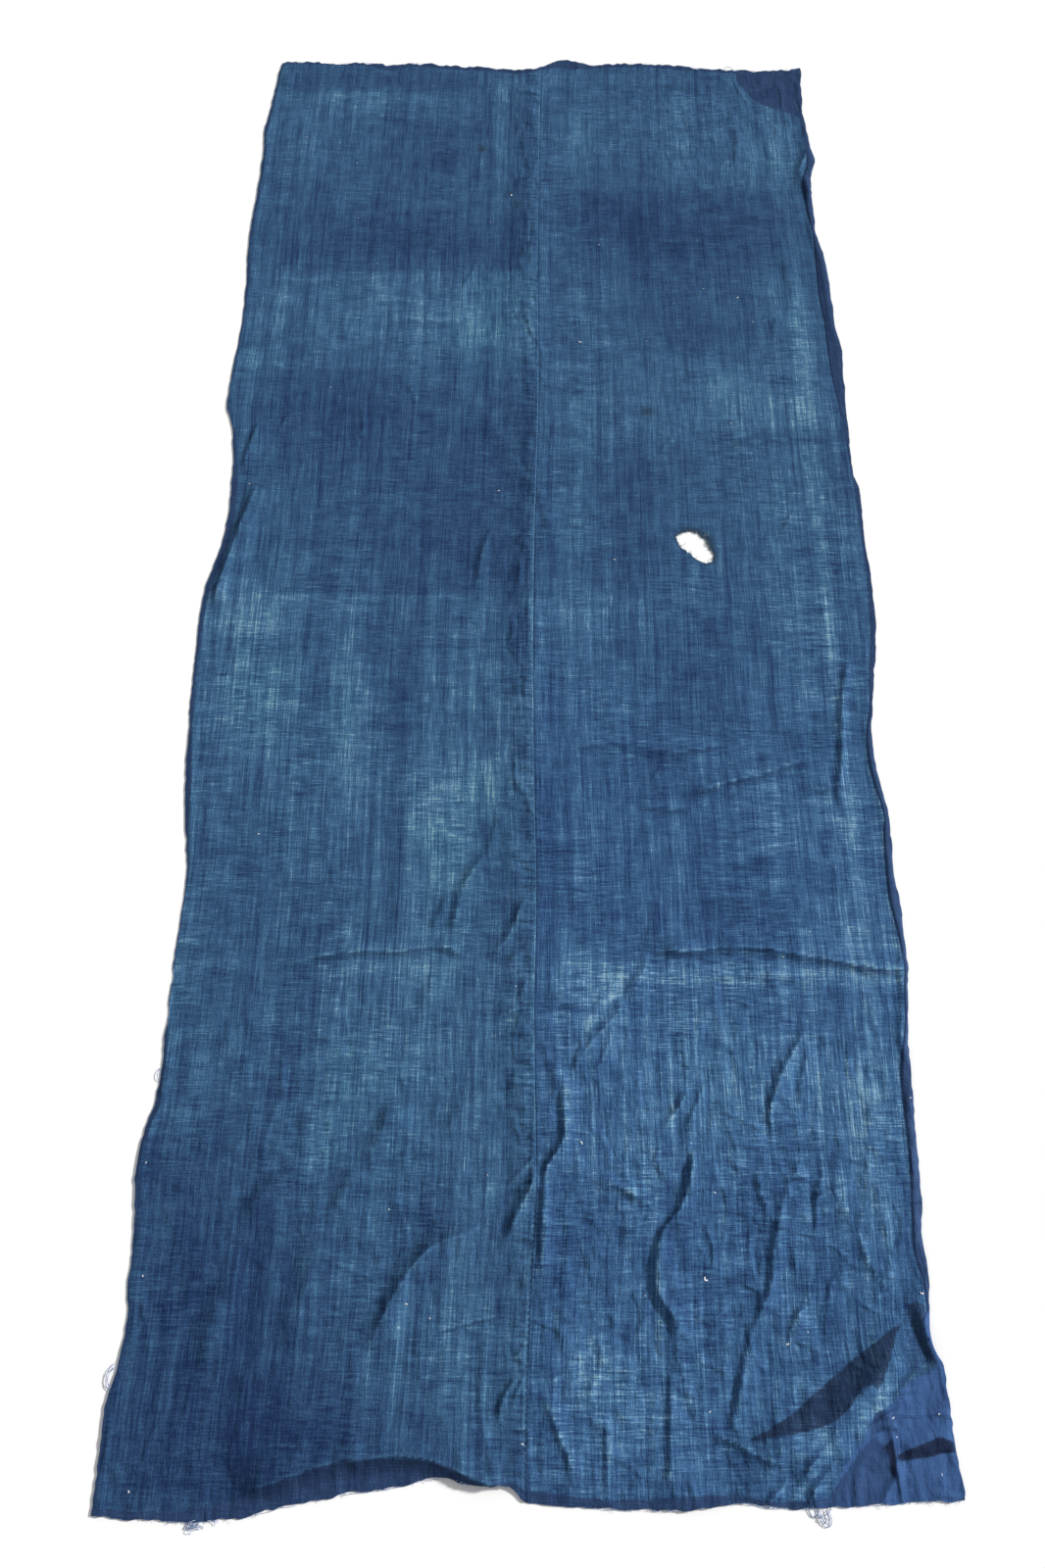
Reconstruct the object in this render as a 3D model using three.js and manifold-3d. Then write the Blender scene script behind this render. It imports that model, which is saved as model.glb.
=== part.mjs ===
// Indigo-dyed cotton panel, laid out flat: two hand-woven loom widths joined by one long lapped seam.
// Millimetres, +Z up. The tables count x from the seam, to the right, and y from the lower edge, upwards.
// The whole is then moved so that the middle of its underside is the origin.

import * as THREE from 'three';
import { mergeVertices } from 'three/addons/utils/BufferGeometryUtils.js';
import Module from 'manifold-3d';

// Driving dimensions
const LENGTH = 2180;          // lower edge to upper edge, nominal
const THICKNESS = 1.5;        // one layer of cloth with its small unevenness
const GAP = 0.3;              // between the two layers of the seam
const LAP = 10;               // width of left strip that lies on the right strip
const LAP_RAMP = 9;           // over which the left strip climbs onto the lap
const MIDDLE = { x: 3.5, y: 1090.5 };
const HOLE_MARGIN = 20;       // how far the hole's cutter reaches past the cloth, each way

// Left outer edge: x of the edge at each height y
const LEFT_EDGE = [
  { y: -20, x: -451 }, { y: 50, x: -450 }, { y: 95, x: -450 }, { y: 135, x: -442 }, { y: 175, x: -440 },
  { y: 215, x: -443 }, { y: 270, x: -443 }, { y: 335, x: -451 }, { y: 375, x: -447 }, { y: 410, x: -437 },
  { y: 560, x: -437 }, { y: 690, x: -435 }, { y: 750, x: -444 }, { y: 830, x: -452 }, { y: 920, x: -458 },
  { y: 1050, x: -461 }, { y: 1110, x: -459 }, { y: 1145, x: -451 }, { y: 1180, x: -444 },
  { y: 1250, x: -440 }, { y: 1330, x: -443 }, { y: 1390, x: -451 }, { y: 1430, x: -462 },
  { y: 1490, x: -461 }, { y: 1570, x: -457 }, { y: 1660, x: -457 }, { y: 1770, x: -463 },
  { y: 1860, x: -459 }, { y: 1960, x: -458 }, { y: 2010, x: -460 }, { y: 2060, x: -456 },
  { y: 2110, x: -452 }, { y: 2150, x: -450 }, { y: 2172, x: -447 }, { y: 2200, x: -438 },
];

// Right outer edge
const RIGHT_EDGE = [
  { y: -20, x: 450 }, { y: 25, x: 449 }, { y: 60, x: 446 }, { y: 110, x: 444 }, { y: 140, x: 442 },
  { y: 157, x: 433 }, { y: 175, x: 431 }, { y: 195, x: 434 }, { y: 230, x: 438 }, { y: 270, x: 436 },
  { y: 330, x: 441 }, { y: 430, x: 444 }, { y: 500, x: 447 }, { y: 540, x: 452 }, { y: 610, x: 457 },
  { y: 690, x: 454 }, { y: 770, x: 455 }, { y: 805, x: 452 }, { y: 840, x: 447 }, { y: 900, x: 446 },
  { y: 930, x: 451 }, { y: 970, x: 456 }, { y: 1025, x: 465 }, { y: 1070, x: 469 }, { y: 1150, x: 470 },
  { y: 1210, x: 468 }, { y: 1285, x: 469 }, { y: 1312, x: 463 }, { y: 1440, x: 464 }, { y: 1550, x: 468 },
  { y: 1600, x: 463 }, { y: 1710, x: 461 }, { y: 1745, x: 457 }, { y: 1778, x: 451 }, { y: 1850, x: 450 },
  { y: 1910, x: 452 }, { y: 1950, x: 462 }, { y: 1985, x: 457 }, { y: 2045, x: 454 }, { y: 2070, x: 451 },
  { y: 2110, x: 453 }, { y: 2200, x: 458 },
];

// Seam: the turned edge of the left strip, which wanders a little
const SEAM = [
  { y: -20, x: -4 }, { y: 120, x: -4 }, { y: 240, x: 1 }, { y: 320, x: 5 }, { y: 400, x: 4 },
  { y: 520, x: 2 }, { y: 660, x: 4 }, { y: 800, x: 1 }, { y: 1000, x: -2 }, { y: 1200, x: -1 },
  { y: 1450, x: 4 }, { y: 1700, x: 2 }, { y: 1950, x: 3 }, { y: 2120, x: 5 }, { y: 2200, x: 8 },
];

// Lower edge: y of the raw edge at each x
const LOWER_EDGE = [
  { x: -460, y: -9 }, { x: -380, y: -13 }, { x: -330, y: -12 }, { x: -290, y: -8 }, { x: -250, y: 1 },
  { x: -195, y: 12 }, { x: -140, y: 19 }, { x: -110, y: 26 }, { x: -85, y: 28 }, { x: -60, y: 22 },
  { x: -22, y: 20 }, { x: -8, y: 10 }, { x: 10, y: 6 }, { x: 50, y: 3 }, { x: 150, y: 1 },
  { x: 215, y: 8 }, { x: 260, y: 4 }, { x: 330, y: 7 }, { x: 400, y: 10 }, { x: 460, y: 14 },
];

// Upper edge
const UPPER_EDGE = [
  { x: -460, y: 2176 }, { x: -425, y: 2186 }, { x: -360, y: 2182 }, { x: -290, y: 2184 }, { x: -258, y: 2177 },
  { x: -220, y: 2185 }, { x: -160, y: 2178 }, { x: -80, y: 2173 }, { x: -20, y: 2167 }, { x: 5, y: 2176 },
  { x: 38, y: 2194 }, { x: 60, y: 2192 }, { x: 90, y: 2182 }, { x: 188, y: 2187 }, { x: 260, y: 2179 },
  { x: 330, y: 2172 }, { x: 400, y: 2168 }, { x: 460, y: 2178 },
];

// Main folds of the laid cloth. Each is a ridge along its crest: height, and the width of its slope on the
// left and on the right of the way the crest runs. Heights fade to nothing at both ends.
const FOLDS = [
  { name: 'lifted hem, lower left', height: 13, left: 70, right: 27,
    crest: [[-250, 24], [-205, 36], [-165, 46], [-130, 48], [-95, 42], [-62, 31], [-20, 25]] },
  { name: 'broad swell, lower left', height: 6, left: 55, right: 28,
    crest: [[-158, 150], [-152, 190], [-135, 225], [-105, 250], [-60, 274]] },
  { name: 'slant beside the seam foot', height: 3.5, left: 14, right: 20,
    crest: [[-52, 62], [-34, 110], [-12, 150]] },
  { name: 'slant left of the seam', height: 4, left: 16, right: 24,
    crest: [[-24, 262], [-14, 310], [-4, 352]] },
  { name: 'short cross fold, left', height: 3.5, left: 30, right: 13,
    crest: [[-178, 580], [-140, 598], [-98, 600]] },
  { name: 'outer cross fold, left', height: 3, left: 28, right: 13,
    crest: [[-305, 574], [-265, 584], [-228, 596]] },
  { name: 'slant, left strip', height: 4.5, left: 16, right: 26,
    crest: [[-106, 602], [-95, 650], [-80, 688], [-54, 728]] },
  { name: 'rolled left edge', height: 8, left: 22, right: 34,
    crest: [[-444, 1080], [-434, 1135], [-423, 1190], [-412, 1240], [-412, 1300], [-415, 1350], [-396, 1412]] },
  { name: 'ridge right of the seam', height: 4.5, left: 13, right: 26,
    crest: [[13, 250], [16, 310], [23, 350], [37, 385], [36, 450]] },
  { name: 'slant at the seam foot', height: 4, left: 13, right: 22,
    crest: [[58, 6], [46, 42], [31, 76], [14, 118]] },
  { name: 'deep wavy fold', height: 9, left: 16, right: 34,
    crest: [[170, 105], [162, 150], [157, 190], [146, 222], [146, 252], [158, 278], [180, 305], [188, 340],
      [190, 380], [205, 440]] },
  { name: 'long diagonal', height: 7, left: 17, right: 32,
    crest: [[218, 70], [232, 128], [246, 172], [264, 215], [274, 262], [284, 300], [284, 350], [288, 400],
      [308, 452], [334, 512]] },
  { name: 'hem pinch', height: 5, left: 20, right: 14,
    crest: [[262, 44], [228, 56], [196, 72], [152, 80]] },
  { name: 'great corner fold', height: 13, left: 30, right: 48,
    crest: [[222, 54], [262, 68], [305, 78], [350, 98], [376, 124], [393, 158], [406, 192]] },
  { name: 'right edge notch', height: 7, left: 16, right: 12,
    crest: [[440, 132], [431, 158], [426, 182], [412, 214]] },
  { name: 'corner crease', height: 5, left: 14, right: 22,
    crest: [[376, 46], [410, 50], [448, 56]] },
  { name: 'cross fold', height: 6, left: 38, right: 17,
    crest: [[128, 606], [200, 598], [250, 605], [300, 601], [350, 592], [400, 590], [458, 594]] },
  { name: 'upper cross fold', height: 3.5, left: 24, right: 14,
    crest: [[200, 800], [260, 826], [312, 838], [360, 844]] },
  { name: 'lengthwise ridge', height: 4, left: 14, right: 24,
    crest: [[402, 790], [410, 845], [418, 900], [424, 950], [440, 1012]] },
  { name: 'swell at the right edge', height: 5, left: 20, right: 18,
    crest: [[448, 1850], [444, 1900], [454, 1950], [448, 2000]] },
];
const MERGE_POWER = 3;        // folds that meet run together into the taller one
const END_FADE = 0.3;         // share of a fold's length over which each end dies away
const CREST_POINTS = 28;      // straight steps in one crest

// Worn hole in the right strip: its rim
const HOLE_RIM = [
  [202, 1200], [214, 1210], [228, 1208], [240, 1199], [248, 1181], [252, 1168], [244, 1157], [233, 1163],
  [222, 1176], [209, 1189],
];
const RIM_POINTS = 24;

// Grid of one strip: how far apart its rows lie, by height, and how many columns it has
const ROW_SPANS = [
  { to: 620, pitch: 17 },
  { to: 1500, pitch: 34 },
  { to: LENGTH, pitch: 45 },
];
const LEFT_COLUMNS = 16;
const RIGHT_COLUMNS = 21;
const SELVEDGE = 14;          // width of the outermost column

// A smooth value through a table's stations, by cubic pieces whose slopes come from the neighbours
function through(table, along, across, at) {
  const last = table.length - 1;
  let i = 0;
  while (i < last - 1 && table[i + 1][along] < at) i += 1;
  const slope = (a, b) => (table[b][across] - table[a][across]) / (table[b][along] - table[a][along]);
  const span = table[i + 1][along] - table[i][along];
  const t = THREE.MathUtils.clamp((at - table[i][along]) / span, 0, 1);
  const before = slope(Math.max(i - 1, 0), i + 1) * span;
  const after = slope(i, Math.min(i + 2, last)) * span;
  const rise = table[i + 1][across] - table[i][across];
  return table[i][across] + t * before
    + t * t * (3 * rise - 2 * before - after)
    + t * t * t * (before + after - 2 * rise);
}

// Height of every fold's crest as straight steps, with how far along the fold each step lies
const crests = FOLDS.map((fold) => {
  const curve = new THREE.SplineCurve(fold.crest.map(([x, y]) => new THREE.Vector2(x, y)));
  return { ...fold, points: curve.getSpacedPoints(CREST_POINTS) };
});

// A ridge's height at a place: nearest point on the crest, then a smooth fall over that side's width
function ridgeHeight(fold, place) {
  let best = { distance: Infinity };
  for (let i = 0; i < CREST_POINTS; i += 1) {
    const step = fold.points[i + 1].clone().sub(fold.points[i]);
    const reach = place.clone().sub(fold.points[i]);
    const t = THREE.MathUtils.clamp(reach.dot(step) / step.lengthSq(), 0, 1);
    const distance = reach.clone().addScaledVector(step, -t).length();
    if (distance < best.distance) {
      best = { distance, along: (i + t) / CREST_POINTS, side: step.cross(reach) };
    }
  }
  const width = best.side > 0 ? fold.left : fold.right;
  const across = 1 - THREE.MathUtils.smoothstep(best.distance, 0, width);
  const ends = Math.min(best.along, 1 - best.along) / END_FADE;
  return fold.height * across * THREE.MathUtils.smoothstep(ends, 0, 1);
}

// Height of the cloth's underside above the surface it lies on
function foldHeight(x, y) {
  const place = new THREE.Vector2(x, y);
  let sum = 0;
  for (const fold of crests) {
    sum += ridgeHeight(fold, place) ** MERGE_POWER;
  }
  return sum ** (1 / MERGE_POWER);
}

const rows = [0];
for (const { to, pitch } of ROW_SPANS) {
  const start = rows[rows.length - 1];
  const count = Math.round((to - start) / pitch);
  for (let i = 1; i <= count; i += 1) {
    rows.push(start + ((to - start) * i) / count);
  }
}

// Evenly spaced shares from 0 to 1
const shares = (count) => Array.from({ length: count + 1 }, (_, i) => i / count);

// The x of each column of a strip at one height, from the strip's left to its right
function leftColumns(y) {
  const edge = through(LEFT_EDGE, 'y', 'x', y);
  const seam = through(SEAM, 'y', 'x', y);
  const inner = edge + SELVEDGE;
  const foot = seam - LAP - LAP_RAMP;
  const body = shares(LEFT_COLUMNS).map((share) => inner + (foot - inner) * share);
  return [edge, ...body, seam - LAP, seam];
}

function rightColumns(y) {
  const edge = through(RIGHT_EDGE, 'y', 'x', y);
  const seam = through(SEAM, 'y', 'x', y);
  const inner = edge - SELVEDGE;
  const body = shares(RIGHT_COLUMNS).map((share) => seam + (inner - seam) * share);
  return [seam - LAP, ...body, edge];
}

// A strip's grid of places: x from its columns, y between the lower and the upper edge at that x
function stripPlaces(columnsAt) {
  return rows.map((row) => columnsAt(row).map((x) => {
    const low = through(LOWER_EDGE, 'x', 'y', x);
    const high = through(UPPER_EDGE, 'x', 'y', x);
    return { x, y: low + ((high - low) * row) / LENGTH };
  }));
}

// A closed sheet: the places at two levels, with a wall along all four edges
function sheetGeometry(places, undersideAt) {
  const rowCount = places.length;
  const columnCount = places[0].length;
  const layer = rowCount * columnCount;
  const points = [];
  for (const lift of [0, THICKNESS]) {
    for (const row of places) {
      row.forEach(({ x, y }, column) => {
        points.push(x - MIDDLE.x, y - MIDDLE.y, undersideAt(x, y, column) + lift);
      });
    }
  }
  const at = (row, column) => row * columnCount + column;
  const faces = [];
  for (let r = 0; r < rowCount - 1; r += 1) {
    for (let c = 0; c < columnCount - 1; c += 1) {
      const [a, b, d, e] = [at(r, c), at(r, c + 1), at(r + 1, c), at(r + 1, c + 1)];
      faces.push(a + layer, b + layer, e + layer, a + layer, e + layer, d + layer);
      faces.push(a, e, b, a, d, e);
    }
  }
  const wall = (a, b) => faces.push(a, b, b + layer, a, b + layer, a + layer);
  for (let c = 0; c < columnCount - 1; c += 1) {
    wall(at(0, c), at(0, c + 1));
    wall(at(rowCount - 1, c + 1), at(rowCount - 1, c));
  }
  for (let r = 0; r < rowCount - 1; r += 1) {
    wall(at(r + 1, 0), at(r, 0));
    wall(at(r, columnCount - 1), at(r + 1, columnCount - 1));
  }
  const geometry = new THREE.BufferGeometry();
  geometry.setAttribute('position', new THREE.Float32BufferAttribute(points, 3));
  geometry.setIndex(faces);
  return geometry;
}

const wasm = await Module();
wasm.setup();

// A closed geometry as a solid that can be cut
function solidOf(geometry) {
  const bare = geometry.clone();
  bare.deleteAttribute('normal');
  bare.deleteAttribute('uv');
  const merged = mergeVertices(bare);
  return new wasm.Manifold(new wasm.Mesh({
    numProp: 3,
    vertProperties: new Float32Array(merged.attributes.position.array),
    triVerts: new Uint32Array(merged.index.array),
  }));
}

function geometryOf(solid) {
  const { vertProperties, triVerts } = solid.getMesh();
  const geometry = new THREE.BufferGeometry();
  geometry.setAttribute('position', new THREE.BufferAttribute(vertProperties, 3));
  geometry.setIndex(new THREE.BufferAttribute(triVerts, 1));
  return geometry;
}

// Upright prism on the hole's rim
function holeCutter() {
  const rim = new THREE.CatmullRomCurve3(
    HOLE_RIM.map(([x, y]) => new THREE.Vector3(x - MIDDLE.x, y - MIDDLE.y, 0)),
    true,
  );
  const outline = rim.getSpacedPoints(RIM_POINTS).slice(0, RIM_POINTS);
  const shape = new THREE.Shape(outline.map(({ x, y }) => new THREE.Vector2(x, y)));
  const geometry = new THREE.ExtrudeGeometry(shape, { depth: 2 * HOLE_MARGIN, bevelEnabled: false });
  return geometry.translate(0, 0, -HOLE_MARGIN);
}

// Left strip: its last column and the one before lie on top of the right strip's edge
function leftGeometry() {
  const lapped = LEFT_COLUMNS + 2;
  const places = stripPlaces(leftColumns);
  return sheetGeometry(places, (x, y, column) => (
    foldHeight(x, y) + (column >= lapped ? THICKNESS + GAP : 0)
  ));
}

// Right strip, with the worn hole cut through
function rightGeometry() {
  const whole = solidOf(sheetGeometry(stripPlaces(rightColumns), foldHeight));
  return geometryOf(whole.subtract(solidOf(holeCutter())));
}

function strip(name, geometry, colour) {
  const material = new THREE.MeshStandardMaterial({ color: colour, roughness: 0.95, metalness: 0 });
  const mesh = new THREE.Mesh(geometry, material);
  mesh.name = name;
  return mesh;
}

const group = new THREE.Group();
group.add(strip('panel_left', leftGeometry(), 0x3a6390));
group.add(strip('panel_right', rightGeometry(), 0x335b89));

export default group;
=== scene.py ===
"""Indigo-dyed cotton panel, laid out flat: two hand-woven loom widths joined by one long lapped seam.

Metres, +Z up; the tables of places are in millimetres. They count x from the seam, to the right, and y from
the lower edge, upwards.
"""

import math

import bpy
import numpy as np
from mathutils import Euler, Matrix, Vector


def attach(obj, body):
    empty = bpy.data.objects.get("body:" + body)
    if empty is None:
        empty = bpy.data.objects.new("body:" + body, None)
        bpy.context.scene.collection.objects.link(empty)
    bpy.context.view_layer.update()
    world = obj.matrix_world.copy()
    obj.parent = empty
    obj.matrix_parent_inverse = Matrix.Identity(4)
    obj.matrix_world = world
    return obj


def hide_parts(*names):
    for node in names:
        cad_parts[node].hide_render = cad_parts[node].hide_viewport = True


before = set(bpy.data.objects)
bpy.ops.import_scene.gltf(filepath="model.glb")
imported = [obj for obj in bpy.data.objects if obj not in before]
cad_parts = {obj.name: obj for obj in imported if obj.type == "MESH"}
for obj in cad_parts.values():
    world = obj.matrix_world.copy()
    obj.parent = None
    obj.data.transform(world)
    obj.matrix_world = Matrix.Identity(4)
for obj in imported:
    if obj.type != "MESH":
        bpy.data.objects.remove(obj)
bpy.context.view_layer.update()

# Sizes of the cloth
LENGTH = 2.18
STRIP_WIDTH = 0.455
MIDDLE = np.array([0.0035, 1.0905])
THICKNESS = 0.0008
LAP_WIDTH = 0.010
LAP_RAMP = 0.026
LAP_RISE = 0.0011
UNDERSIDE_RISE = 0.80
TURNED_EDGE = 0.0012
TURNED_DROP = 0.55
MM = 1000

# Outer edges and seam: (height y, x)
LEFT_EDGE = np.array([
    (-20, -451), (50, -450), (95, -450), (135, -442), (175, -440), (215, -443), (270, -443), (335, -451),
    (375, -447), (410, -437), (560, -437), (690, -435), (750, -444), (830, -452), (920, -458), (1050, -461),
    (1110, -459), (1145, -451), (1180, -444), (1250, -440), (1330, -443), (1390, -451), (1430, -462),
    (1490, -461), (1570, -457), (1660, -457), (1770, -463), (1860, -459), (1960, -458), (2010, -460),
    (2060, -456), (2110, -452), (2150, -450), (2172, -447), (2200, -438),
]) / MM
RIGHT_EDGE = np.array([
    (-20, 450), (25, 449), (60, 446), (110, 444), (140, 442), (157, 433), (175, 431), (195, 434), (230, 438),
    (270, 436), (330, 441), (430, 444), (500, 447), (540, 452), (610, 457), (690, 454), (770, 455),
    (805, 452), (840, 447), (900, 446), (930, 451), (970, 456), (1025, 465), (1070, 469), (1150, 470),
    (1210, 468), (1285, 469), (1312, 463), (1440, 464), (1550, 468), (1600, 463), (1710, 461), (1745, 457),
    (1778, 451), (1850, 450), (1910, 452), (1950, 462), (1985, 457), (2045, 454), (2070, 451), (2110, 453),
    (2200, 458),
]) / MM
SEAM = np.array([
    (-20, -4), (120, -4), (240, 1), (320, 5), (400, 4), (520, 2), (660, 4), (800, 1), (1000, -2), (1200, -1),
    (1450, 4), (1700, 2), (1950, 3), (2120, 5), (2200, 8),
]) / MM

# Raw edges: (x, height y)
LOWER_EDGE = np.array([
    (-460, -9), (-380, -13), (-330, -12), (-290, -8), (-250, 1), (-195, 12), (-140, 19), (-110, 26),
    (-85, 28), (-60, 22), (-22, 20), (-8, 10), (10, 6), (50, 3), (150, 1), (215, 8), (260, 4), (330, 7),
    (400, 10), (460, 14),
]) / MM
UPPER_EDGE = np.array([
    (-460, 2176), (-425, 2186), (-360, 2182), (-290, 2184), (-258, 2177), (-220, 2185), (-160, 2178),
    (-80, 2173), (-20, 2167), (5, 2176), (38, 2194), (60, 2192), (90, 2182), (188, 2187), (260, 2179),
    (330, 2172), (400, 2168), (460, 2178),
]) / MM

# How far a fold falls from its crest over the width of its slope, t from 0 to 1
FORMS = {
    "round": lambda t: (1 - t) ** 2 * (1 + 2 * t),
    "crisp": lambda t: (1 - t) ** 1.5,
    "sharp": lambda t: (1 - t) ** 2,
    "even": lambda t: (1 - t) ** 1.1,
}

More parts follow.
